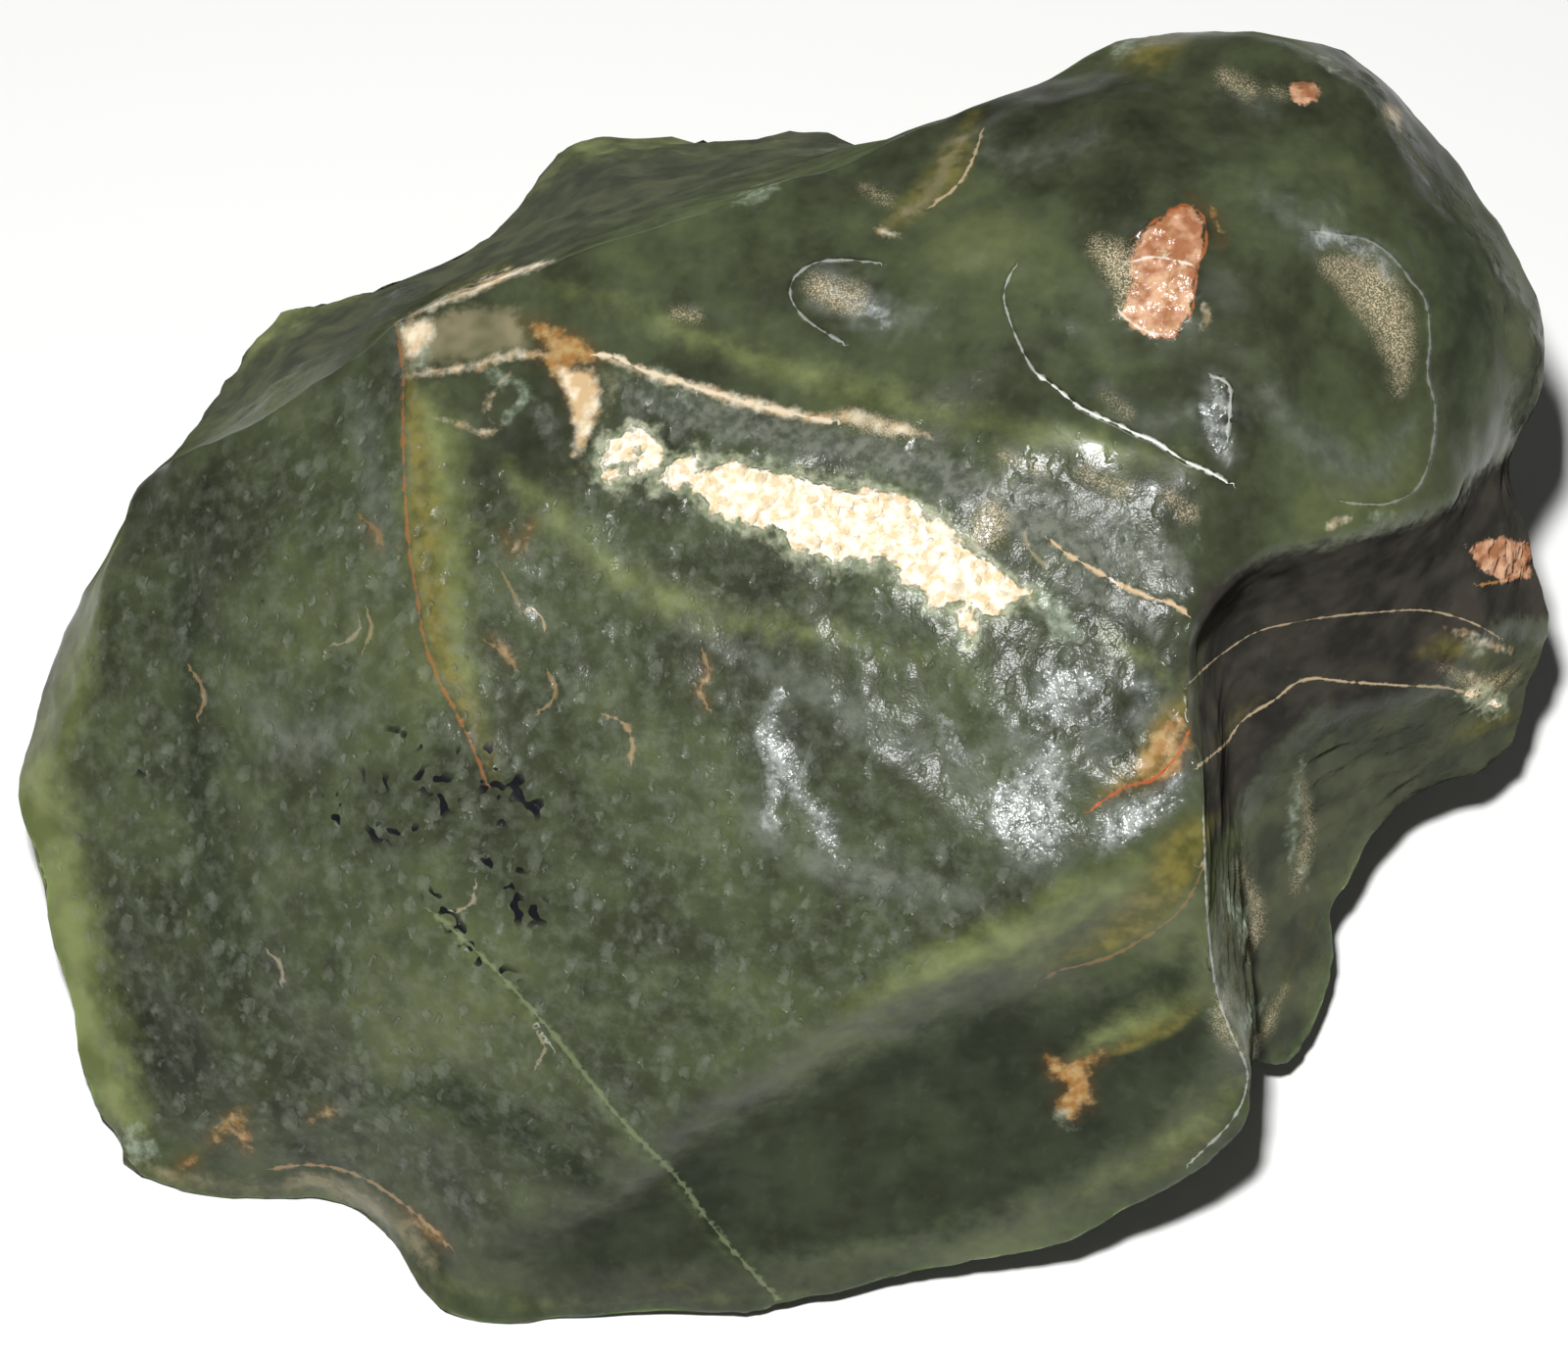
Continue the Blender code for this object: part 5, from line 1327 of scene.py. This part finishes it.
class Graph:
    """A material's node tree, built from nothing."""

    def __init__(self, name: str) -> None:
        """Starts an empty tree under the material's name."""
        self.material = bpy.data.materials.new(name)
        self.material.use_nodes = True
        self.tree = self.material.node_tree
        self.tree.nodes.clear()
        self.made: dict[str, bpy.types.Node] = {}

    @property
    def place(self) -> Socket:
        """Object coordinates."""
        return self.add("TexCoord", out="Object")

    def noise(self, size: float, detail: float, rough: float = 0.5) -> Socket:
        """Even noise whose patches are about the size across, in millimetres."""
        return self.add("TexNoise", {
            "Vector": self.place, "Scale": 1 / (size * MM), "Detail": detail, "Roughness": rough})

    def summed(self, *terms: tuple[Socket, float], start: Socket | float = 0.0) -> Socket:
        """The start and each term's socket times its share, added up."""
        for socket, share in terms:
            start = self.add("Math", {0: socket, 1: share, 2: start}, operation="MULTIPLY_ADD")
        return start

    def add(self, kind: str, inputs: dict[str | int, Any] | None = None, out: str | int = 0,
            stops: Sequence[tuple[float, str]] = (), **settings: Any) -> Socket:
        """Adds a node with its settings and links, or finds the one that already does the same.

        Args:
            kind: Blender's name for the node's type, less its leading ShaderNode.
            inputs: A socket to link to, or a value, for each input by its name or number.
            out: The output to return, by its name or number.
            stops: For a colour ramp, each stop's place and sRGB hex colour.
            settings: Properties of the node itself.

        Returns:
            The output socket, or the node where it has no outputs.
        """
        linked = {name: value.as_pointer() if isinstance(value, bpy.types.NodeSocket) else value
                  for name, value in (inputs or {}).items()}
        key = repr((kind, linked, stops, settings))
        if key in self.made:
            return self.made[key].outputs[out]
        node = self.made[key] = self.tree.nodes.new("ShaderNode" + kind)
        for name, value in settings.items():
            setattr(node, name, value)
        for name, value in (inputs or {}).items():
            if isinstance(value, bpy.types.NodeSocket):
                self.tree.links.new(value, node.inputs[name])
            else:
                node.inputs[name].default_value = value
        for number, (place, colour) in enumerate(stops):
            elements = node.color_ramp.elements
            stop = elements[number] if number < len(elements) else elements.new(place)
            stop.position, stop.color = place, linear(colour)
        return node.outputs[out] if len(node.outputs) else node


@dataclass(frozen=True)
class Layer:
    """A kind of staining or rind that covers the nephrite where its marking is."""

    mark: Mark
    pale: str
    deep: str
    mottle: float
    ragged: float
    full: float
    opacity: float
    roughness: float
    spread: float = 0.0


@dataclass(frozen=True)
class Fleck:
    """Separate grains of one colour where a marking is: fine noise, cut off from low to high."""

    mark: Mark
    colour: str
    size: float
    low: float
    high: float
    full: float


@dataclass(frozen=True)
class RiverWornNephrite:
    """River-worn nephrite: felted tremolite, broken, rolled and waxed by handling.

    The felted fibres make it translucent olive green with cloudy depths; the light through its thin rims is a
    painted glow. Wear gives it a waxy gloss, and iron and weathering stain its cracks yellow, orange and
    cream. Its darker lower facet is painted shade, and its grey sheen, the glare on bruised patches, the lit
    lips of pits and the white rims of scallops are painted highlights.
    """

    deepest: str = "#2a2d20"
    deep: str = "#3a3f2d"
    middle: str = "#495038"
    light: str = "#5c6342"
    # Pale grey of crushed pits, partly painted sheen
    bruise_and_sheen: str = "#868c7f"
    cloud: float = 30.0
    mottle: float = 6.0
    fibre: float = 1.3
    cloud_share: float = 0.62
    mottle_share: float = 0.28
    fibre_share: float = 0.10
    gloss_spread: float = 0.07
    gloss_roughness: float = 0.32
    pitted_roughness: float = 0.46
    coat: float = 0.28
    bruise_coat: float = 0.7
    coat_roughness: float = 0.2
    index: float = 1.61
    specular_level: float = 0.07
    scatter: float = 0.25
    scatter_spread: Point = (0.55, 1.0, 0.35)
    scatter_reach: float = 3.5
    crushed: float = 2.2
    crushed_height: float = 0.14
    crushed_and_sheen_paleness: float = 0.22
    pit_size: float = 2.35
    pit_tallness: float = 1.5
    pit_turn_degrees: float = -14.0
    pit_wander: float = 1.8
    smallest_pit: float = 0.12
    largest_pit: float = 0.52
    pitless_share: float = 0.36
    pit_height: float = 0.22
    # Pits pale partly as crushed fibres and partly as painted sheen, their lips as a painted highlight
    pit_paleness: float = 0.25
    lip_highlight: float = 0.3
    lip_way: Point = (1.0, 0.35, 0.0)
    grain: float = 1.3
    grain_heights: tuple[tuple[Mark, float], ...] = (
        (Mark.CRUST, 0.8), (Mark.ROUGH, 0.4), (Mark.INCLUSION, 0.3), (Mark.BRUISED_AND_GLARE, 0.5))
    frost_size: float = 0.32
    frost_height: float = 0.03
    layers: tuple[Layer, ...] = (
        Layer(Mark.ROUGH, "#4d503f", "#3b3e34", 6.0, 1.6, 3.0, 0.92, 0.55),
        # Painted shade over the lower facet and the darker streaks
        Layer(Mark.PAINTED_SHADE, "#343a2c", "#282d22", 6.0, 1.6, 5.0, 0.85, 0.42),
        # Painted sheen: a soft grey veil
        Layer(Mark.PAINTED_SHEEN, "#787c72", "#5c6159", 2.4, 1.6, 6.0, 0.6, 0.34),
        # Grey of the break, partly painted sheen
        Layer(Mark.SLATE_AND_SHEEN, "#73766b", "#4a4e46", 1.3, 1.0, 2.6, 0.7, 0.42),
        # Painted glow: light green where light shines through thin stone
        Layer(Mark.PAINTED_GLOW, "#858e5a", "#687043", 6.0, 1.6, 7.0, 0.85, 0.36),
        Layer(Mark.WALL, "#3d3934", "#2b2926", 6.0, 1.0, 2.0, 0.96, 0.45),
        # Crushed grey skin, partly painted glare and sheen
        Layer(Mark.BRUISED_AND_GLARE, "#7d817b", "#5c615b", 2.4, 4.0, 6.0, 0.55, 0.42, 2.0),
        Layer(Mark.BRUISED_AND_GLARE, "#b9bdba", "#686d67", 1.3, 1.6, 2.2, 0.65, 0.32),
        Layer(Mark.OCHRE, "#776f3b", "#56552a", 2.4, 0.5, 4.0, 0.95, 0.34),
        Layer(Mark.GLASS, "#958a6e", "#6a694e", 6.0, 1.0, 2.2, 0.75, 0.2),
        Layer(Mark.RUST, "#704828", "#5f4226", 2.4, 0.5, 3.0, 0.42, 0.34, 1.4),
        Layer(Mark.RUST, "#b99a68", "#a0743f", 1.3, 1.0, 1.6, 0.85, 0.4),
        Layer(Mark.FROST, "#a9b3a0", "#6f7c67", 1.3, 1.6, 2.2, 0.6, 0.45),
        Layer(Mark.CREAM, "#ece1c8", "#ccae84", 2.4, 0.5, 1.5, 0.9, 0.38),
        Layer(Mark.GRAIN, "#948a6e", "#6f6e57", 1.3, 1.0, 2.2, 0.5, 0.42),
        Layer(Mark.CRUST, "#b4b79c", "#7f8a6c", 1.3, 1.6, 1.6, 0.75, 0.5, 1.5),
        Layer(Mark.CRUST, "#fcf5e4", "#e0c8a2", 1.3, 1.6, 0.9, 1.0, 0.85),
        Layer(Mark.INCLUSION, "#cfa686", "#9c6848", 2.4, 0.5, 0.5, 1.0, 0.28),
    )
    flecks: tuple[Fleck, ...] = (
        Fleck(Mark.GRAIN, "#cbbb9c", 0.22, 0.46, 0.66, 3.0),
        # White glints on the bruised patches: painted highlights
        Fleck(Mark.BRUISED_AND_GLARE, "#f0f2f1", 0.28, 0.6, 0.8, 4.0),
        Fleck(Mark.SPECKS, "#15161a", 1.5, 0.57, 0.60, 1.0),
    )

    def material(self) -> bpy.types.Material:
        """Builds the material.

        Returns:
            The material, which reads Object coordinates and the stone's marking attributes.
        """
        graph = Graph("river-worn nephrite")
        add = graph.add
        clouds = graph.noise(self.cloud, 3)
        mottles = graph.noise(self.mottle, 2)
        fibres = graph.noise(self.fibre, 2)
        depth = graph.summed((clouds, self.cloud_share), (mottles, self.mottle_share),
                             (fibres, self.fibre_share))
        colour = add("ValToRGB", {"Fac": depth}, stops=(
            (0.36, self.deepest), (0.45, self.deep), (0.54, self.middle), (0.66, self.light)))
        roughness = add("MapRange", {
            "Value": mottles, "From Min": 0.3, "From Max": 0.7,
            "To Min": self.gloss_roughness - self.gloss_spread,
            "To Max": self.gloss_roughness + self.gloss_spread})
        amounts: dict[Mark, Socket] = {}
        for layer in self.layers:
            amount = self.amount(graph, layer)
            patches = graph.noise(layer.mottle, 2)
            patches = add("MapRange", {"Value": patches, "From Min": 0.38, "From Max": 0.62})
            tone = add("Mix", {0: patches, 6: linear(layer.deep), 7: linear(layer.pale)},
                       out=2, data_type="RGBA")
            colour = add("Mix", {0: amount, 6: colour, 7: tone}, out=2, data_type="RGBA")
            roughness = add("Mix", {0: amount, 2: roughness, 3: layer.roughness})
            amounts[layer.mark] = amount
        pitted = add("Attribute", out="Fac", attribute_name=Mark.PITTED.value)
        pitted = add("MapRange", {"Value": pitted, "From Min": -2.0, "From Max": 4.0,
                                            "To Min": 0.12, "To Max": 1.0})
        pits = self.pits(graph)
        roughness = add("Mix", {0: pitted, 2: roughness, 3: self.pitted_roughness})
        colour = self.with_bruises_and_sheen(graph, colour, pitted, pits)
        colour = self.with_flecks(graph, colour)
        colour, bead = self.with_veins(graph, colour)
        steep = add("Attribute", out="Fac", attribute_name=Mark.STEEP.value)
        steep = add("MapRange", {"Value": steep, "From Min": -5.0, "From Max": 5.0})
        dryness = add("Math", {0: amounts[Mark.ROUGH], 1: amounts[Mark.WALL]}, operation="MAXIMUM")
        dryness = graph.summed((amounts[Mark.PAINTED_SHADE], 0.8), start=dryness)
        dryness = add("Math", {0: steep, 1: dryness}, operation="MAXIMUM", use_clamp=True)
        dull = graph.summed((pitted, 0.5), start=dryness)
        for mark in (Mark.CRUST, Mark.SLATE_AND_SHEEN, Mark.PAINTED_SHADE):
            dull = add("Math", {0: dull, 1: amounts[mark]}, operation="MAXIMUM")
        coat = add("Math", {0: dull, 1: -self.coat, 2: self.coat}, operation="MULTIPLY_ADD",
                   use_clamp=True)
        coat = graph.summed((amounts[Mark.BRUISED_AND_GLARE], self.bruise_coat), start=coat)
        normal = self.skin(graph, amounts, bead, pitted, pits)
        waxed = add("BsdfPrincipled", {
            "Base Color": colour, "Roughness": roughness, "IOR": self.index,
            "Specular IOR Level": self.specular_level, "Coat Weight": coat,
            "Coat Roughness": self.coat_roughness, "Subsurface Weight": self.scatter,
            "Subsurface Radius": self.scatter_spread, "Subsurface Scale": self.scatter_reach * MM,
            "Normal": normal, "Coat Normal": normal})
        dry = add("BsdfDiffuse", {"Color": colour, "Roughness": 1.0, "Normal": normal})
        surface = add("MixShader", {0: dryness, 1: waxed, 2: dry})
        add("OutputMaterial", {"Surface": surface})
        return graph.material

    def amount(self, graph: Graph, layer: Layer) -> Socket:
        """How much a layer covers: its marking's cover, pushed in and out by noise, over its full depth.

        Args:
            graph: The tree to add to.
            layer: The layer.

        Returns:
            From 0 to the layer's opacity.
        """
        cover = graph.add("Attribute", out="Fac", attribute_name=layer.mark.value)
        push = graph.noise(1.6 * layer.ragged + 0.6, 3, 0.65)
        push = graph.add("MapRange", {
            "Value": push, "From Min": 0.25, "From Max": 0.75, "To Min": layer.spread - layer.ragged,
            "To Max": layer.spread + layer.ragged})
        cover = graph.add("Math", {0: cover, 1: push}, operation="ADD")
        return graph.add("MapRange", {
            "Value": cover, "From Max": layer.full, "To Max": layer.opacity}, interpolation_type="SMOOTHSTEP")

    def pits(self, graph: Graph) -> tuple[Socket, Socket]:
        """The small oval pits: one to each cell of a flat, shaken lattice laid on the worn face.

        A pit's depth falls off as one minus the square of the distance from its middle over its radius.
        Its lit lip, a painted highlight, is the part of it that lies towards its upper right.

        Args:
            graph: The tree to add to.

        Returns:
            The depth, and the lip's strength, both from 0 to 1.
        """
        add = graph.add
        wander = add("Math", {0: graph.noise(self.fibre, 2), 1: self.pit_wander * MM},
                     operation="MULTIPLY")
        place = add("VectorMath", {0: graph.place, 1: wander}, operation="ADD")
        scale = 1 / (self.pit_size * MM)
        place = add("Mapping", {
            "Vector": place, "Rotation": (math.radians(WornFace().lean_degrees - 90), 0.0, 0.0)})
        place = add("Mapping", {
            "Vector": place, "Rotation": (0.0, 0.0, math.radians(self.pit_turn_degrees)),
            "Scale": (scale, scale / self.pit_tallness, scale)})
        cells = add("TexVoronoi", {"Vector": place, "Scale": 1.0}, out="Position",
                    voronoi_dimensions="2D").node
        chance = add("SeparateColor", {"Color": cells.outputs["Color"]}).node
        size = add("Math", {0: chance.outputs[0], 1: 2.6}, operation="POWER")
        radius = add("MapRange", {
            "Value": size, "To Min": self.smallest_pit, "To Max": self.largest_pit})
        depth = add("Math", {0: cells.outputs["Distance"], 1: radius}, operation="DIVIDE")
        depth = add("Math", {0: depth, 1: depth}, operation="MULTIPLY")
        depth = add("Math", {0: 1.0, 1: depth}, operation="SUBTRACT", use_clamp=True)
        there = add("Math", {0: chance.outputs[1], 1: self.pitless_share},
                    operation="GREATER_THAN")
        depth = add("Math", {0: depth, 1: there}, operation="MULTIPLY")
        across = add("VectorMath", {0: place, 1: cells.outputs["Position"]}, operation="SUBTRACT")
        lip = add("VectorMath", {0: across, 1: self.lip_way}, out="Value",
                  operation="DOT_PRODUCT")
        lip = add("MapRange", {"Value": lip, "From Min": 0.06, "From Max": 0.26})
        lip = add("Math", {0: lip, 1: chance.outputs[2]}, operation="MULTIPLY")
        edge = add("Math", {0: depth, 1: 0.22}, operation="SUBTRACT")
        edge = add("Math", {0: edge}, operation="ABSOLUTE")
        edge = add("MapRange", {"Value": edge, "From Min": 0.05, "From Max": 0.22, "To Min": 1.0,
                                          "To Max": 0.0})
        return depth, add("Math", {0: lip, 1: edge}, operation="MULTIPLY")

    def with_bruises_and_sheen(self, graph: Graph, colour: Socket, pitted: Socket,
                     pits: tuple[Socket, Socket]) -> Socket:
        """Pales the pits as crushed fibres and painted sheen, and their lips as a painted highlight.

        Args:
            graph: The tree to add to.
            colour: The colour under them.
            pitted: How closely the skin is pitted.
            pits: The pits' depth and lips.

        Returns:
            The colour with them.
        """
        add = graph.add
        mottle = add("MapRange", {
            "Value": graph.noise(self.crushed, 3, 0.65), "From Min": 0.45,
            "From Max": 0.7})
        amount = graph.summed((pits[0], self.pit_paleness), (pits[1], self.lip_highlight),
                              (mottle, self.crushed_and_sheen_paleness))
        amount = add("Math", {0: amount, 1: pitted}, operation="MULTIPLY", use_clamp=True)
        return add("Mix", {0: amount, 6: colour, 7: linear(self.bruise_and_sheen)}, out=2,
                   data_type="RGBA")

    def with_flecks(self, graph: Graph, colour: Socket) -> Socket:
        """Adds sandy glints, painted white glints on the bruised patches and black flecks where their
        markings are.

        Each is fine noise cut off high, so that it shows as separate grains. The real grains are about
        0.1 mm, drawn here at 0.2 mm so that they show.

        Args:
            graph: The tree to add to.
            colour: The colour under them.

        Returns:
            The colour with them.
        """
        add = graph.add
        for fleck in self.flecks:
            cover = add("Attribute", out="Fac", attribute_name=fleck.mark.value)
            near = add("MapRange", {"Value": cover, "From Min": -0.6, "From Max": fleck.full},
                       interpolation_type="SMOOTHSTEP")
            grains = graph.noise(fleck.size, 0.5)
            grains = add("MapRange", {
                "Value": grains, "From Min": fleck.low, "From Max": fleck.high})
            amount = add("Math", {0: near, 1: grains}, operation="MULTIPLY")
            colour = add("Mix", {0: amount, 6: colour, 7: linear(fleck.colour)}, out=2,
                         data_type="RGBA")
        return colour

    def with_veins(self, graph: Graph, colour: Socket) -> tuple[Socket, Socket]:
        """Draws the veins from their attributes.

        Args:
            graph: The tree to add to.
            colour: The colour under them.

        Returns:
            The colour with them, and the height of their beads in millimetres.
        """
        add = graph.add
        values = {name: add("Attribute", out="Fac", attribute_name=f"vein_{name}")
                  for name in ("offset", "gap", "width", "tint", "strength", "bead")}
        across = add("Math", {0: values["offset"]}, operation="ABSOLUTE")
        beside = add("MapRange", {
            "Value": values["gap"], "From Min": 0.9, "From Max": 1.3, "To Min": 1.0, "To Max": 0.0})
        push = graph.noise(self.fibre, 2)
        width = add("MapRange", {"Value": push, "From Min": 0.35, "From Max": 0.65,
                                           "To Min": 0.1, "To Max": 1.6})
        width = add("Math", {0: width, 1: values["width"]}, operation="MULTIPLY")
        within = add("Math", {0: across, 1: width}, operation="DIVIDE")
        amount = add("MapRange", {
            "Value": within, "From Min": 0.4, "From Max": 1.5, "To Min": 1.0, "To Max": 0.0})
        amount = add("Math", {0: amount, 1: beside}, operation="MULTIPLY")
        amount = add("Math", {0: amount, 1: values["strength"]}, operation="MULTIPLY")
        # The near-white stop at 0.15 paints highlights on sharp rims
        tint = add("ValToRGB", {"Fac": values["tint"]}, stops=(
            (0.0, "#8f9c74"), (0.15, "#eef0ea"), (0.33, "#cdb896"), (0.62, "#97703f"), (1.0, "#b5532f")))
        colour = add("Mix", {0: amount, 6: colour, 7: tint}, out=2, data_type="RGBA")
        bead = add("MapRange", {
            "Value": across, "From Min": 0.0, "From Max": 0.5, "To Min": 1.0, "To Max": 0.0},
            interpolation_type="SMOOTHSTEP")
        bead = add("Math", {0: bead, 1: values["bead"]}, operation="MULTIPLY")
        return colour, add("Math", {0: bead, 1: beside}, operation="MULTIPLY")

    def skin(self, graph: Graph, amounts: dict[Mark, Socket], bead: Socket,
             pitted: Socket, pits: tuple[Socket, Socket]) -> Socket:
        """The fine relief that the mesh is too coarse for.

        Args:
            graph: The tree to add to.
            amounts: How much each layer covers.
            bead: The height of the beads.
            pitted: How closely the skin is pitted.
            pits: The pits' depth and lips.

        Returns:
            The bumped normal.
        """
        add = graph.add
        rough = add("Math", {0: graph.noise(self.crushed, 3, 0.65), 1: pitted},
                    operation="MULTIPLY")
        depth = add("Math", {0: pits[0], 1: pitted}, operation="MULTIPLY")
        frost = add("Math", {0: graph.noise(self.frost_size, 2), 1: pitted},
                    operation="MULTIPLY")
        height = graph.summed((rough, self.crushed_height), (frost, self.frost_height),
                              (depth, -self.pit_height), start=bead)
        for mark, tall in self.grain_heights:
            bumps = graph.noise(self.grain, 2)
            bumps = add("Math", {0: bumps, 1: amounts[mark]}, operation="MULTIPLY")
            height = graph.summed((bumps, tall), start=height)
        return add("Bump", {"Height": height, "Strength": 1.0, "Distance": MM})


@dataclass(frozen=True)
class MattPaper:
    """Matt white paper: uncoated, so that it is plain and throws no highlight."""

    colour: str = "#f3f3f1"
    roughness: float = 0.95

    def material(self) -> bpy.types.Material:
        """Builds the material."""
        graph = Graph("matt white paper")
        shader = graph.add("BsdfPrincipled", {
            "Base Color": linear(self.colour), "Roughness": self.roughness})
        graph.add("OutputMaterial", {"Surface": shader})
        return graph.material


@dataclass
class Studio:
    """The plain pale floor, the lamps and the camera."""

    face: WornFace = WornFace()
    frame_width: float = 200.0
    sensor_width: float = 36.0
    floor_size: float = 6000.0
    floor_drop: float = 0.4
    clip_start: float = 50.0
    clip_end: float = 20000.0
    world: str = "#f4f5f6"
    world_strength: float = 0.047
    key_place: Point = (-55.0, 180.0, 876.0)
    key_size: float = 55.0
    key_watts: float = 11.0
    fill_place: Point = (500.0, -420.0, 700.0)
    fill_size: float = 900.0
    fill_watts: float = 0.13

    def floor(self) -> bpy.types.Object:
        """The floor: a flat sheet just under the stone."""
        half = self.floor_size / 2
        corners = np.array([(-half, -half), (half, -half), (half, half), (-half, half)])
        corners = np.column_stack([corners, np.full(4, -self.floor_drop)]) * MM
        mesh = bpy.data.meshes.new("floor")
        mesh.from_pydata(corners, [], [(0, 1, 2, 3)])
        mesh.materials.append(MattPaper().material())
        floor = bpy.data.objects.new("floor", mesh)
        bpy.context.scene.collection.objects.link(floor)
        return floor

    def aimed(self, place: Sequence[float]) -> Matrix:
        """Where something stands that looks at the middle of the worn face, with the face's up above it.

        Args:
            place: Its place, in the face's own coordinates.

        Returns:
            Its matrix over the ground, in metres.
        """
        target = self.face.to_ground([(0.0, 0.0, 0.0)])[0]
        stand = self.face.to_ground([place])[0]
        back = unit(stand - target)
        right = unit(np.cross(self.face.axes()[1], back))
        turn = np.column_stack([right, np.cross(back, right), back])
        matrix = Matrix(turn.tolist()).to_4x4()
        matrix.translation = Vector(stand * MM)
        return matrix

    def camera(self) -> bpy.types.Object:
        """The camera, straight out from the worn face at the sight point."""
        lens = bpy.data.cameras.new("camera")
        lens.sensor_width = self.sensor_width
        lens.lens = self.sensor_width * self.face.sight / self.frame_width
        lens.clip_start, lens.clip_end = self.clip_start * MM, self.clip_end * MM
        camera = bpy.data.objects.new("camera", lens)
        camera.matrix_world = self.aimed((0.0, 0.0, self.face.sight))
        bpy.context.scene.collection.objects.link(camera)
        bpy.context.scene.camera = camera
        return camera

    def lamp(self, name: str, place: Point, size: float, watts: float) -> bpy.types.Object:
        """A square soft lamp.

        Args:
            name: Its name.
            place: Its place, in the face's own coordinates.
            size: Its side.
            watts: Its power.

        Returns:
            The lamp's object.
        """
        light = bpy.data.lights.new(name, "AREA")
        light.size, light.energy = size * MM, watts
        lamp = bpy.data.objects.new(name, light)
        lamp.matrix_world = self.aimed(place)
        bpy.context.scene.collection.objects.link(lamp)
        return lamp

    def surround(self) -> None:
        """Sets the even pale surround and plain colour."""
        scene = bpy.context.scene
        scene.view_settings.view_transform = "Standard"
        world = scene.world or bpy.data.worlds.new("surround")
        scene.world = world
        world.use_nodes = True
        background = world.node_tree.nodes["Background"]
        background.inputs["Color"].default_value = linear(self.world)
        background.inputs["Strength"].default_value = self.world_strength

    def build(self) -> None:
        """Builds the floor, the camera, the lamps and the surround."""
        self.camera()
        self.floor()
        self.lamp("key", self.key_place, self.key_size, self.key_watts)
        self.lamp("fill", self.fill_place, self.fill_size, self.fill_watts)
        self.surround()


def main() -> None:
    """Builds the studio and the stone, and reports each piece."""
    logging.basicConfig(level=logging.INFO, format="%(message)s")
    Studio().build()
    LOG.info("studio: floor, camera and lamps")
    boulder = Boulder()
    stone = boulder.build()
    boulder.dress(stone)
    LOG.info("%s: %s mm", stone.name, np.round(np.ptp(boulder.points, axis=0), 1))


if __name__ == "__main__":
    main()
